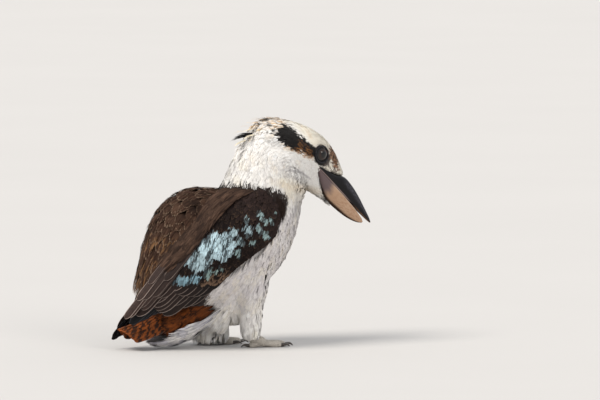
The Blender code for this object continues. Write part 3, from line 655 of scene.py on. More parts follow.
def grow_tufts(name, slot, finish, path, outs, flat, spread, colours, barbs, seed, stations=SOFT_BARB,
               blunt=0.16, narrowing=0.12, fullness=1.9, uneven=0.05, soften=0.7, tones=0.06, patch=0.0014,
               turned=False):
    """Joined tufts. A tuft's path is its root, middle and tip, outs are the ways out of the coat there, and
    colours are those of each barb at its stations."""
    draw = np.random.default_rng(seed)
    count, steps = len(path), len(stations)
    side = unit(np.cross(unit(path[:, 2] - path[:, 0]), outs[:, 1])) * (-1 if turned else 1)
    across = np.linspace(-1, 1, barbs)[None, :] + draw.normal(0, 0.35 / barbs, (count, barbs))
    reach = 1 - blunt * np.abs(across) ** 2.2 + draw.normal(0, uneven, (count, barbs))
    wide = (spread * fullness / barbs)[:, None] * draw.uniform(0.75, 1.25, (count, barbs))
    wave = draw.normal(0, 0.35, (count, barbs))
    t = stations[None, None, :] * reach[:, :, None]
    # A smooth path through the root, the middle and the tip
    w0, w1, w2 = 2 * (t - 0.5) * (t - 1), -4 * t * (t - 1), 2 * t * (t - 0.5)
    line = (
        path[:, 0, None, None] * w0[..., None]
        + path[:, 1, None, None] * w1[..., None]
        + path[:, 2, None, None] * w2[..., None]
    )
    fan = across[:, :, None] * spread[:, None, None] / 2 * (t**0.6) * (1 - narrowing * t**2)
    line = line + side[:, None, None] * fan[..., None]
    line = line + outs[:, 1, None, None] * (wave[:, :, None] * t * spread[:, None, None] * 0.09)[..., None]
    line[..., 2] = np.maximum(line[..., 2], draw.uniform(FLOOR_CLEAR, 3 * FLOOR_CLEAR, (count, barbs, 1)))
    widths = np.interp(stations[:-1], [0, 0.4, 0.75, 0.95], [0.7, 1.0, 0.8, 0.5])
    half = side[:, None, None] * (wide[:, :, None] * widths / 2)[..., None]
    pairs = np.stack([line[:, :, :-1] - half, line[:, :, :-1] + half], axis=3)
    each = 2 * steps - 1
    points = np.concatenate([pairs.reshape(count, barbs, each - 1, 3), line[:, :, -1:]], axis=2)
    one = [[2 * k + a, 2 * k + b, 2 * k + c] for k in range(steps - 2) for a, b, c in ((0, 1, 3), (0, 3, 2))]
    one = np.array(one + [[each - 3, each - 2, each - 1]])
    triangles = (np.arange(count * barbs)[:, None, None] * each + one[None]).reshape(-1, 3)
    which = np.repeat(np.arange(steps), 2)[:each]
    shares = stations[which]
    tone = colours[:, :, which] * draw.normal(1, tones, (count, barbs, 1, 1))
    tone = tone * draw.normal(1, tones * 0.6, (count, 1, 1, 1))
    tone = np.broadcast_to(np.clip(tone, 0.003, 0.95), (count, barbs, each, 3))
    bend = mix(outs[:, 0, None, None], outs[:, 2, None, None], shares[None, None, :, None])
    lean = side[:, None, None] * across[:, :, None, None] * 0.25
    edge = np.concatenate([np.tile([-1.0, 1.0], steps - 1), [0]])
    lean = lean + edge[None, None, :, None] * side[:, None, None] * 0.3
    shading = unit(bend + lean * (1 - soften) * 2)
    points, shading = points.reshape(-1, 3), shading.reshape(-1, 3)
    # Each barb's front faces away from the skin
    if facing_in(points, triangles, shading):
        triangles = triangles[:, ::-1]
    piece = piece_of(name, points, triangles, finish, slot)
    piece.data.normals_split_custom_set_from_vertices(shading.tolist())
    give(piece, "plumage", "FLOAT_COLOR", with_alpha(tone.reshape(-1, 3)))
    cell = np.stack([np.broadcast_to(across[:, :, None], (count, barbs, each)),
                     np.broadcast_to(shares * 2 - 1, (count, barbs, each))], axis=3) * patch
    give_map(piece, "OFBake", (flat[:, None, None] + cell).reshape(-1, 2))
    return piece


def facing_in(points, triangles, shading):
    """Whether most triangles face against the way that they are to be shaded."""
    a, b, c = (points[triangles[:, k]] for k in range(3))
    return float(np.sum(np.cross(b - a, c - a) * shading[triangles[:, 0]])) < 0


def feather_finish(name, rough, gloss=0.25, sheen=0.1):
    """Soft plumage: its own colour, broken along the barbs, with a slight sheen."""
    finish = Finish(name, Roughness=rough, Sheen_Weight=sheen, Sheen_Roughness=0.6, Specular_IOR_Level=gloss)
    tint = finish.attribute("plumage", "Color")
    fine = finish.noise(finish.place(), 1400, 2.0)
    broken = finish.ramp(fine, 0.35, 0.75) * 0.3
    finish.feed("Base Color", finish.blend(broken, tint, (0.72, 0.68, 0.64), "MULTIPLY"))
    finish.bump(fine, 0.25, 0.3)
    return finish


def skin_path(roots, out, way, length, heights):
    """The path of tufts over the skin. Heights are those of the middle and the tip off the skin."""
    middle, middle_out = nearest_on_skin(roots + way * (length * 0.5)[:, None])
    end, end_out = nearest_on_skin(roots + way * length[:, None])
    middle = middle + middle_out * heights[0][:, None]
    end = end + end_out * heights[1][:, None]
    return np.stack([roots - out * 0.5, middle, end], axis=1), np.stack([out, middle_out, end_out], axis=1)


# Painted shade along a barb: how dark it is at each station, darkest at its shaded root, next to its colour
# in the open
BARB_PAINTED_SHADE = {"pale": (0.88, 0.96, 1.0, 1.02), "dark": (0.5, 0.8, 1.0, 1.15)}
SPREAD_SHARE = 0.42
ROOT_SPACING = 0.185
# The far leg's feathers: how long they hang, how far they reach to the floor, and how far they flare
HANGING_LENGTH = 17.0
HANGING_REACH = (0.62, 1.04)
HANGING_FLARE = (0.8, 5.0)
# The vent's loose feathers: the way they fall, and their lengths from the tail's end to the legs'
LOOSE_FALL = unit(np.array([-0.62, 0, -0.78]))
LOOSE_LENGTHS = [(-45, -5), (27, 15)]
LOOSE_LIFT = (0.5, 3.0)

pale_finish = feather_finish("pale_plumage", 0.8)
dark_finish = feather_finish("dark_plumage", 0.75, 0.12, 0.0)
roots, outs, flats = scatter(ROOT_SPACING, FEATHER_SEED)
fine = open_to_air(roots, outs)
roots, outs, flats = roots[fine], outs[fine], flats[fine]
ways = lie_of(roots, outs)
draw = np.random.default_rng(FEATHER_SEED + 1)
stray = draw.normal(0, 0.13, len(roots))[:, None]
ways = unit(ways + np.cross(outs, ways) * stray)
lengths = feather_length(roots) * draw.uniform(0.82, 1.18, len(roots))
depths = coat_depth(roots)
on_heads = headness(roots) > 0.5
ahead, side, up = head_places(roots)
crest = np.where(on_heads, soft_step(-34, -56, ahead) * soft_step(-24, -8, up), 0)
ruffle = ruffle_share(ahead, up) * on_heads
low = soft_step(60, 30, roots[:, 2])
lengths = lengths * (1 + 0.2 * crest)
# The far leg's feathers hang down to the floor
hanging = (roots[:, 1] > 8) & (roots[:, 2] < 34) & (roots[:, 0] < 2)
lengths = np.where(hanging, HANGING_LENGTH, lengths)
# The long loose feathers of the vent hang back and down, on the near side of the far leg
loose = (roots[:, 1] < 8) & (roots[:, 2] < 44) & (roots[:, 0] > -56) & (roots[:, 0] < -1)
loose_lengths = np.interp(roots[:, 0], *LOOSE_LENGTHS) * draw.uniform(0.7, 1.15, len(roots))
lengths = np.where(loose, loose_lengths, lengths)
middle_heights = depths * draw.uniform(0.8, 1.1, len(roots)) + crest * 1.5
tip_heights = depths * draw.uniform(0.6, np.where(on_heads, 1.3, 1.1)) * (1 + 0.3 * low)
tip_heights = tip_heights + crest * draw.uniform(0.5, 5.0, len(roots))
tip_heights = tip_heights + ruffle * draw.uniform(0.0, 1.6, len(roots))
capes = cape_share(roots) > 0.5
dark_tips = (crest > 0.5) & (draw.random(len(roots)) < 0.12)
jitters = draw.normal(0, 0.8, len(roots))
lower = ~on_heads & (roots[:, 2] < 52)
regions = {
    "crown_feathers": (on_heads & (up > -2), "pale_feathers", 9),
    "right_cheek_feathers": (on_heads & (up <= -2) & (roots[:, 1] < 0), "pale_feathers", 9),
    "left_cheek_feathers": (on_heads & (up <= -2) & (roots[:, 1] >= 0), "pale_feathers", 9),
    "neck_feathers": (~on_heads & ~capes & (roots[:, 2] > 140), "pale_feathers", 11),
    "body_feathers": (~on_heads & ~capes & (roots[:, 2] <= 140) & ~lower, "body_feathers", 12),
    "right_leg_feathers": (lower & (roots[:, 1] < 0), "body_feathers", 12),
    "left_leg_feathers": (lower & (roots[:, 1] >= 0), "body_feathers", 12),
    "cape_feathers": (~on_heads & capes & ~lower, "back_feathers", 10),
}
for number, (name, (chosen, slot, barbs)) in enumerate(regions.items()):
    heights = (middle_heights[chosen], tip_heights[chosen])
    path, path_outs = skin_path(roots[chosen], outs[chosen], ways[chosen], lengths[chosen], heights)
    spread = lengths[chosen] * SPREAD_SHARE
    hang = hanging[chosen]
    drop = (path[hang, 0, 2] - 1.0) * draw.uniform(*HANGING_REACH, hang.sum())
    flare = draw.uniform(*HANGING_FLARE, hang.sum())
    flared = path_outs[hang, 0] * [1, 1, 0] * flare[:, None]
    path[hang, 2] = path[hang, 0] + flared - np.array([0.05, 0, 1.0]) * drop[:, None]
    path[hang, 1] = mix(path[hang, 0], path[hang, 2], 0.5) + flared * 0.35
    path_outs[hang, 2] = path_outs[hang, 1]
    falls = loose[chosen]
    lift = path_outs[falls, 0] * draw.uniform(*LOOSE_LIFT, (falls.sum(), 1))
    path[falls, 2] = path[falls, 0] + (LOOSE_FALL * lengths[chosen][falls][:, None] + lift)
    path[falls, 1] = mix(path[falls, 0], path[falls, 2], 0.5) + path_outs[falls, 0] * 2.2
    path_outs[falls, 2] = path_outs[falls, 1] = path_outs[falls, 0]
    # A barb takes the colour of the place where its outer end shows
    aside = np.cross(ways[chosen], outs[chosen])
    shown = mix(path[:, 0], path[:, 2], 0.8)[:, None] + aside[:, None] * (
        np.linspace(-1, 1, barbs)[None, :, None] * spread[:, None, None] * 0.42
    )
    along_lie = draw.normal(0, 0.14, (len(path), barbs, 1)) * lengths[chosen][:, None, None]
    shown = shown + ways[chosen][:, None] * along_lie
    colours = plumage(shown.reshape(-1, 3), np.repeat(jitters[chosen], barbs)).reshape(-1, barbs, 3)
    is_cape = name == "cape_feathers"
    # Painted shade: each barb is darker toward its root
    tones = np.array(BARB_PAINTED_SHADE["dark" if is_cape else "pale"])
    colours = colours[:, :, None] * tones[None, None, :, None]
    colours[dark_tips[chosen], :, -1] = BLACK
    colours[dark_tips[chosen], :, -2] *= 0.5
    grow_tufts(
        name, slot, dark_finish if is_cape else pale_finish, path, path_outs, flats[chosen], spread, colours,
        barbs, FEATHER_SEED + 2 + number,
    )

# A few longer wisps stand off the crown and the nape. Each: its root, its tip, its width and its colour
WISPS = [
    ((25, -7, 224.5), (1.0, -9, 219.5), 5.4, BLACK), ((24, -6, 223.5), (-0.5, -10, 217.5), 5.0, BLACK),
    ((22, -8, 222.5), (3.0, -10, 218.5), 5.4, BLACK), ((25, -8, 225.0), (4, -10, 222.5), 5.4, BLACK),
    ((24, -8, 224.0), (6, -10, 221.0), 5.6, BLACK), ((22, -7, 223.0), (2, -9, 220.5), 5.0, BLACK),
    ((20, -6, 214.0), (3, -8, 206.0), 5.5, WHITE), ((19, -8, 209.0), (3, -10, 200.0), 5.5, WHITE),
    ((18, -7, 203.0), (3, -9, 193.0), 5.5, WHITE), ((20, -4, 217.0), (4, -5, 211.5), 5.0, CREAM),
    ((46, -4, 236.5), (33, -6, 240.5), 3.0, BLACK), ((44, -2, 237.0), (34, -3, 240.5), 2.6, BLACK),
    ((38, -6, 234.0), (26, -9, 233.5), 3.2, BLACK), ((38, -2, 237.0), (25, -2, 238.5), 3.0, BUFF),
    ((34, -9, 232.0), (19, -12, 231.0), 3.2, BUFF), ((33, 0, 235.0), (17, 1, 234.5), 3.4, WARM),
    ((28, -5, 229.0), (12, -8, 226.0), 4.0, CREAM), ((30, 4, 233.0), (14, 6, 230.0), 3.2, BUFF),
    ((24, 2, 228.0), (7, 3, 224.5), 3.6, WARM), ((36, -12, 229.0), (23, -17, 226.5), 3.0, WARM),
    ((42, 5, 236.0), (29, 8, 239.0), 3.5, WARM), ((26, -12, 224.0), (11, -16, 219.5), 4.5, CREAM),
    ((36, -5, 234.0), (23, -6, 235.0), 4.0, BUFF), ((32, -8, 230.0), (17, -11, 228.0), 4.0, WARM),
]
WISP_BARBS = 9
starts, ends = np.array([w[0] for w in WISPS], float), np.array([w[1] for w in WISPS], float)
root_places, wisp_outs = nearest_on_skin(starts)
wisp_path = np.stack([root_places, mix(root_places, ends, 0.5) + wisp_outs * 1.6, ends], axis=1)
# Painted shade: each wisp's barbs are a little darker at their roots
wisp_painted_shade = np.array([0.9, 1.0, 1.0, 1.0])
wisp_colours = np.array([w[3] for w in WISPS])[:, None, None] * wisp_painted_shade[None, None, :, None]
wisp_colours = np.repeat(wisp_colours, WISP_BARBS, axis=1)
wisp_flats = np.stack([np.linspace(0.1, 0.9, len(WISPS)), np.full(len(WISPS), 0.5)], axis=1)
grow_tufts(
    "crown_wisps", "pale_feathers", pale_finish, wisp_path, np.repeat(wisp_outs[:, None], 3, axis=1),
    wisp_flats, np.array([w[2] for w in WISPS]),
    wisp_colours, WISP_BARBS, FEATHER_SEED + 12, uneven=0.14, fullness=1.9, patch=0.02,
)


# The long feathers and the coverts are vanes. They lie in rows on curved sheets, which are the same ones that
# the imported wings, cape and tail were laid on.
def curve(points):
    """A smooth line through the points, read with a number from 0 to 1."""
    points = np.array(points, float)
    last = len(points) - 1

    def read(share):
        place = min(max(share, 0.0), 1.0) * last
        i = min(int(place), last - 1)
        t = place - i
        a, b = points[i], points[i + 1]
        before = points[i - 1] if i else 2 * a - b
        after = points[i + 2] if i + 2 <= last else 2 * b - a
        slope_a, slope_b = (b - before) / 2, (after - a) / 2
        return (
            (2 * t**3 - 3 * t**2 + 1) * a
            + (t**3 - 2 * t**2 + t) * slope_a
            + (3 * t**2 - 2 * t**3) * b
            + (t**3 - t**2) * slope_b
        )

    return read


SHEET_RUN_OUT = 200


class Sheet:
    """A curved sheet: along runs from 0 to 1 down its line, across from -1 to 1 over its width, and height
    stands off it. It is rounded across, as a part of a barrel is."""

    def __init__(self, line, half_widths, rounding, outward):
        self.line = curve(line)
        self.run = float(np.sum(np.linalg.norm(np.diff(np.array(line, float), axis=0), axis=1)))
        self.half = curve([(w,) for w in half_widths])
        self.rounding = rounding
        self.outward = unit(outward)

    def frame(self, along):
        along = min(max(along, 0), 1)
        ahead = unit(self.line(min(along + 0.02, 1)) - self.line(max(along - 0.02, 0)))
        out = unit(self.outward - ahead * self.outward.dot(ahead))
        return ahead, np.cross(ahead, out), out

    def point_and_out(self, along, across, height):
        ahead, side, out = self.frame(along)
        turn = across * float(self.half(along)[0]) / self.rounding
        reach = self.rounding + height
        past = ahead * (max(along - 1, 0) + min(along, 0)) * SHEET_RUN_OUT
        lifted = side * reach * math.sin(turn) + out * (reach * math.cos(turn) - self.rounding)
        return self.line(along) + past + lifted, side * math.sin(turn) + out * math.cos(turn)


BODY_STATIONS = 6
TIP_STATIONS = (0.25, 0.5, 0.7, 0.85, 0.95, 1.0)
COLUMNS = np.array([-1, -0.72, -0.36, 0, 0.36, 0.72, 1.0])
VANE_THICK = 0.25
CAMBER = 0.05


def vane_of(sheet, feather):
    """One feather: the points of its upper face by station and column, the way out there, how far each point
    is in from the rim, its place across and along the vane, and each station's share of the length."""
    root, tip, width = np.array(feather["root"]), np.array(feather["tip"]), feather["width"]
    span = sheet.point_and_out(*tip, 0)[0] - sheet.point_and_out(*root, 0)[0]
    rounding = min(0.6, feather["blunt"] * width / max(np.linalg.norm(span), 1))
    shares = np.concatenate([
        np.linspace(0, 1, BODY_STATIONS) * (1 - rounding), 1 - rounding + rounding * np.array(TIP_STATIONS)
    ])
    centre, outs = [], []
    low, high = feather["heights"]
    for share in shares:
        along, across = mix(root, tip, share)
        point, out = sheet.point_and_out(along, across, mix(low, high, share**0.8))
        centre.append(point)
        outs.append(out)
    centre, outs = np.array(centre), np.array(outs)
    side = unit(np.cross(unit(np.gradient(centre, axis=0)), outs))
    in_tip = np.clip((shares - 1 + rounding) / rounding, 0, 1)
    widen = 0.55 + 0.45 * soft_step(0, 0.55, shares)
    half = width / 2 * widen * np.maximum(1 - in_tip**2.2, 0.004) ** 0.5
    ragged = feather["ragged"]
    u = COLUMNS[None, :]
    lean = feather["roll"] * widen[:, None] * np.minimum(shares * 3, 1)[:, None]
    up = -lean * u + CAMBER * width * (1 - u**2) * widen[:, None]
    points = centre[:, None] + side[:, None] * (half[:, None] * u + ragged * 0.4)[..., None]
    points = points + outs[:, None] * up[..., None]
    step = unit(np.gradient(centre, axis=0))
    points = points + step[:, None] * (ragged * in_tip[:, None])[..., None]
    length = np.concatenate([[0], np.cumsum(np.linalg.norm(np.diff(centre, axis=0), axis=1))])
    rim = half[:, None] * (1 - np.abs(u))
    flat = np.stack(np.broadcast_arrays(half[:, None] * u, length[:, None]), axis=2)
    return points, outs, rim, flat, shares


def dress(name, slot, finish, sheet, feathers, seed, turned=False, marked=False):
    """Joined vanes, each a thin closed plate with its own tint and fringe, and marked all but at its end."""
    draw = np.random.default_rng(seed)
    rows, columns = BODY_STATIONS + len(TIP_STATIONS), len(COLUMNS)
    grid = np.arange(rows * columns).reshape(rows, columns)
    a, b = grid[:-1, :-1].ravel(), grid[:-1, 1:].ravel()
    c, d = grid[1:, 1:].ravel(), grid[1:, :-1].ravel()
    top = np.concatenate([np.stack([a, b, c], 1), np.stack([a, c, d], 1)])
    under = top[:, ::-1] + rows * columns
    loop = np.concatenate([grid[0, :-1], grid[:-1, -1], grid[-1, :0:-1], grid[:0:-1, 0]])
    after = np.roll(loop, -1)
    edge = np.concatenate([
        np.stack([loop, loop + rows * columns, after], 1),
        np.stack([after, loop + rows * columns, after + rows * columns], 1),
    ])
    one = np.concatenate([top, under, edge])
    measures = ("rim", "mark", "which") if marked else ("rim", "which")
    every = {key: [] for key in ("points", "flat", "tint", "trim", "bake", *measures)}
    across_count = math.ceil(math.sqrt(len(feathers)))
    for i, feather in enumerate(feathers):
        feather["ragged"] = draw.normal(0, 0.22, (rows, columns)) * feather.get("fray", 1.0)
        points, outs, rim, flat, shares = vane_of(sheet, feather)
        tint = np.array(feather["tint"]) * draw.uniform(0.86, 1.14)
        if turned:
            points = points * [1, -1, 1]
            outs = outs * [1, -1, 1]
        lower = points - outs[:, None] * VANE_THICK
        every["points"].append(np.concatenate([points.reshape(-1, 3), lower.reshape(-1, 3)]))
        every["rim"].append(np.tile(rim.ravel(), 2))
        if marked:
            every["mark"].append(np.tile(np.repeat(soft_step(1.0, 0.9, shares), columns), 2))
        every["flat"].append(np.tile(flat.reshape(-1, 2), (2, 1)))
        every["tint"].append(np.tile(tint, (2 * rows * columns, 1)))
        trimmed = feather["trimmed"] * mix(0.3, 1.0, soft_step(0.68, 0.9, shares))
        trim = np.concatenate([np.tile(feather["trim"], (rows, 1)), trimmed[:, None]], axis=1)
        every["trim"].append(np.tile(np.repeat(trim, columns, axis=0), (2, 1)))
        every["which"].append(np.full(2 * rows * columns, draw.random()))
        # Each face has its own cell of the bake's map
        u = np.broadcast_to(COLUMNS[None] / 2 + 0.5, (rows, columns)).ravel()
        v = np.broadcast_to(shares[:, None], (rows, columns)).ravel() * 0.92 + 0.04
        cell = np.array([i % across_count, i // across_count])
        upper_cell = np.stack([0.04 + 0.56 * u, v], 1)
        under_cell = np.stack([0.64 + 0.32 * u, v], 1)
        every["bake"].append((np.concatenate([upper_cell, under_cell]) + cell) / across_count)
    every = {key: np.concatenate(value) for key, value in every.items()}
    triangles = (np.arange(len(feathers))[:, None, None] * 2 * rows * columns + one[None]).reshape(-1, 3)
    if not turned:
        triangles = triangles[:, ::-1]
    piece = piece_of(name, every["points"], triangles, finish, slot)
    piece.data.set_sharp_from_angle(angle=math.radians(50))
    give(piece, "tint", "FLOAT_COLOR", with_alpha(every["tint"]))
    give(piece, "trim", "FLOAT_COLOR", every["trim"])
    for key in measures:
        give(piece, key, "FLOAT", every[key])
    give_map(piece, "Vane", every["flat"])
    give_map(piece, "OFBake", every["bake"])
    return piece


ROOT_DROP = 2.2


def row_of(count, roots, tips, widths, heights, seed, stagger=0.006, darker=0.38, **looks):
    """A row of feathers, from the one nearest the back to the one nearest the belly. Heights are those of the
    first and the last tip, and a root lies lower than its tip."""
    draw = np.random.default_rng(seed)
    made = []
    for i in range(count):
        share = i / max(count - 1, 1)
        root = mix(np.array(roots[0], float), np.array(roots[1], float), share)
        tip = mix(np.array(tips[0], float), np.array(tips[1], float), share) + draw.normal(0, [stagger, 0.02])
        height = mix(heights[0], heights[1], share) + draw.normal(0, 0.12)
        width = mix(widths[0], widths[1], share) * draw.uniform(0.95, 1.06)
        feather = {"root": root, "tip": tip, "width": width, "heights": (height - ROOT_DROP, height),
                   "roll": 0.45, "blunt": 0.45, **looks}
        # Painted light and shade: the feather nearest the back is painted lighter and each one toward the
        # belly darker, as painted shade low on the folded wing. Their pale edges vary at random and also fade
        # toward the belly as painted shade.
        feather["trimmed"] *= draw.uniform(0.4, 1.15) * mix(1.0, 0.5, share)
        feather["tint"] = np.array(feather["tint"]) * mix(1.25, darker, share)
        made.append(feather)
    return made


def vane_finish(name, rough, fringe, bars=None):
    """A vane: barbs that slant off its shaft, a fringe in the trim colour, and its bars: how far apart they
    are, how they slant, and their colour."""
    finish = Finish(name, Roughness=rough, Specular_IOR_Level=0.18)
    out, along = finish.flat_place("Vane")
    out = finish.node("Math", {"operation": "ABSOLUTE"}, [out])
    slant = along - out * 0.8
    which = finish.attribute("which")
    streak_at = finish.node("CombineXYZ", {}, [slant * 1.5, out * 0.18, which * 60])
    streak = finish.noise(streak_at, 1.0, 3.0, 0.6)
    cloud_at = finish.node("CombineXYZ", {}, [along * 0.12, out * 0.12, which * 90])
    cloud = finish.noise(cloud_at, 1.0, 2.0)
    tint = finish.attribute("tint", "Color")
    colour = finish.blend(finish.ramp(streak, 0.3, 0.75) * 0.7, tint, (0.4, 0.4, 0.42), "MULTIPLY")
    colour = finish.blend(finish.ramp(cloud, 0.35, 0.7) * 0.5, colour, (1.6, 1.5, 1.45), "MULTIPLY")
    rim = finish.attribute("rim")
    if bars:
        period, slope, bar_colour = bars
        wave_at = along - out * slope + (streak - 0.5) * 9 + (cloud - 0.5) * 12 + which * 9
        barred = finish.ramp(finish.sine(wave_at, period), -0.6, 0.5)
        barred = barred * finish.ramp(finish.attribute("mark"), 0.2, 0.4) * 0.9
        colour = finish.blend(barred, colour, bar_colour)
    shaft = 1 - finish.ramp(out, 0.18, 0.42)
    colour = finish.blend(shaft * 0.55, colour, (0.35, 0.33, 0.32), "MULTIPLY")
    trim = finish.attribute("trim", "Color")
    trimmed = finish.attribute("trim", "Alpha")
    near_rim = 1 - finish.ramp(rim + (streak - 0.5) * fringe * 1.2, fringe * 0.35, fringe)
    colour = finish.blend(near_rim * trimmed, colour, trim)
    finish.feed("Base Color", colour)
    finish.bump(finish.sine(slant, 0.7) * 0.25 + streak + shaft * 1.5, 0.5, 0.16)
    return finish


def lens(name, sheet, first, last, reach, height, thick, finish, slot, turned=False):
    """The closed underlay of a wing, the cape or the tail, which the vanes are rooted in."""
    shape = bmesh.new()
    bmesh.ops.create_uvsphere(shape, u_segments=28, v_segments=18, radius=1)
    for v in shape.verts:
        along = mix(first, last, (v.co.z + 1) / 2)
        point, _ = sheet.point_and_out(along, v.co.x * reach, height + v.co.y * thick / 2)
        if turned:
            point = point * [1, -1, 1]
        v.co = Vector((point + SHIFT) * MM)
    bmesh.ops.recalc_face_normals(shape, faces=shape.faces)
    return set_up(linked(name, mesh_from(shape, name)), finish, slot)


def sheet_tufts(name, slot, finish, sheet, roots, tips, heights, widths, colour_at, barbs, seed,
                turned=False, **shape):
    """Tufts that lie on a sheet. Heights are those of each root, middle and tip, and colour_at gives each
    barb's colours from the places of its stations, in millimetres down and across the sheet."""
    draw = np.random.default_rng(seed + 500)
    path, outs = np.zeros((len(roots), 3, 3)), np.zeros((len(roots), 3, 3))
    for i in range(len(roots)):
        for k, share in enumerate((0, 0.5, 1)):
            path[i, k], outs[i, k] = sheet.point_and_out(*mix(roots[i], tips[i], share), heights[i, k])
    if turned:
        path, outs = path * [1, -1, 1], outs * [1, -1, 1]
    scale = np.array([sheet.run, float(sheet.half(0.4)[0])])
    start, step = roots * scale, (tips - roots) * scale
    aside = unit(np.stack([-step[:, 1], step[:, 0]], axis=1))
    fan = np.linspace(-1, 1, barbs)[None, :, None, None] * widths[:, None, None, None] / 2
    places = start[:, None, None] + step[:, None, None] * VANE_BARB[None, None, :, None]
    places = places + aside[:, None, None] * fan
    colours = np.clip(colour_at(places, VANE_BARB, draw), 0.002, 0.95)
    cells = math.ceil(math.sqrt(len(roots)))
    number = np.arange(len(roots))
    flat = (np.stack([number % cells, number // cells], axis=1) + 0.5) / cells
    return grow_tufts(name, slot, finish, path, outs, flat, widths, colours, barbs, seed, stations=VANE_BARB,
                      patch=0.4 / cells, turned=turned, tones=0.1, **shape)


def painted_root_shade(stations, darkest, start=0.2):
    """Painted shade on a tuft's barbs: how light they are from their darkened roots to their tips, before
    their colour.
    """
    return (darkest + (1 - darkest) * soft_step(start, 0.6, stations))[None, None, :, None]


# The folded wings. The coverts lie in rows from the shoulder down, with pale blue tips on the rows in the
# middle, and the secondaries and primaries run out under them to the black wing tip.
RIGHT_WING = [
    (37, -41, 156), (12, -48, 139), (-20, -50, 114), (-47, -45, 85), (-77, -31, 53), (-112, -17, 23),
]
LEFT_WING = [
    (36, -41, 156), (10, -48.5, 138), (-22, -51, 109), (-51, -46, 75), (-86, -30, 38), (-126, -13, 8),
]
WING_HALF_WIDTHS = [22, 28, 29, 25, 19, 10]
WING_ROUNDING = 46
WING_OUTWARD = (-0.12, -1, 0.16)
TERTIAL_TIPS = {"right": ((0.99, 1.38), (0.91, 0.80)), "left": ((0.78, 0.7), (0.78, 0.5))}
BACK_REACH = {"right": 1.0, "left": 0.45}
FLIGHT_BROWN = shade(42, 30, 26)
COVERT_BROWN = shade(23, 15, 14)
# The shoulder's brown is the coverts' brown with painted light on it
SHOULDER_PAINTED_LIGHT_BROWN = shade(44, 33, 31)
SCAPULAR_BROWN = shade(44, 31, 25)
SCAPULAR_LIGHT = shade(92, 70, 57)
PRIMARY_BLACK = shade(14, 13, 15)
PALE_BLUE = shade(196, 222, 231)
GREEN_GREY = shade(150, 176, 172)
TURQUOISE = shade(136, 170, 184)
COVERT_BUFF = shade(122, 98, 80)
# Where the blue shows on the wing's sheet, as along and across it, each with its own blue
BLUE_FIELDS = [
    ([(0.55, 0.66), (0.47, 0.60), (0.425, 0.52), (0.385, 0.15), (0.385, -0.18), (0.44, -0.40), (0.49, -0.40),
      (0.51, -0.1), (0.545, 0.3)], PALE_BLUE, 0.97),
    ([(0.645, 0.72), (0.575, 0.66), (0.55, 0.3), (0.525, -0.06), (0.60, -0.08), (0.64, 0.28)],
     PALE_BLUE, 0.75),
    ([(0.735, 0.46), (0.70, 0.46), (0.66, 0.05), (0.615, -0.2), (0.645, -0.26), (0.70, 0.05)],
     TURQUOISE, 0.97),
]
# Lone spots: along, across, how far they reach in millimetres, and how blue they are from 0 to 1
BLUE_SPOTS = [
    (0.355, 0.1, 4.6, 0.9), (0.30, -0.16, 5.0, 0.9), (0.36, -0.26, 4.0, 0.7), (0.24, -0.42, 4.2, 0.4),
    (0.23, -0.72, 3.8, 0.3), (0.19, -0.08, 4.0, 0.35), (0.15, -0.5, 3.6, 0.2), (0.09, -0.44, 3.0, 0.1),
    (0.41, -0.52, 3.4, 0.3), (0.31, -0.6, 3.2, 0.2), (0.27, 0.12, 2.8, 0.5), (0.19, -0.36, 3.2, 0.3),
    (0.53, -0.52, 2.6, 0.0), (0.575, -0.44, 2.6, 0.0), (0.605, -0.30, 3.4, 0.1), (0.585, -0.22, 2.6, 0.0),
]
# The line that the scapulars end on, over the coverts, and the wing's edge at the belly, as along and across
SCAPULAR_EDGE = [
    (0, 0.07, 0.18, 0.29, 0.42, 0.58, 0.73, 0.84), (0.82, 0.80, 0.86, 0.88, 0.70, 0.78, 1.02, 1.28),
]
BELLY_EDGE = [(0.0, 0.03, 0.14, 0.25, 0.43, 0.6, 0.76), (-0.5, -0.6, -0.98, -0.98, -0.84, -0.8, -0.8)]
FRONT_EDGE = [(-1.0, -0.6, 0.0, 0.6, 1.4), (0.13, 0.04, 0.0, 0.01, 0.06)]


def covert_height(along, across):
    """How high the coverts lie off the wing's sheet."""
    rise = np.interp(along, [0, 0.08, 0.2, 0.4, 0.56, 0.74], [1.2, 4.0, 5.6, 5.0, 4.0, 3.4])
    return rise - (0.7 - across) * 1.25


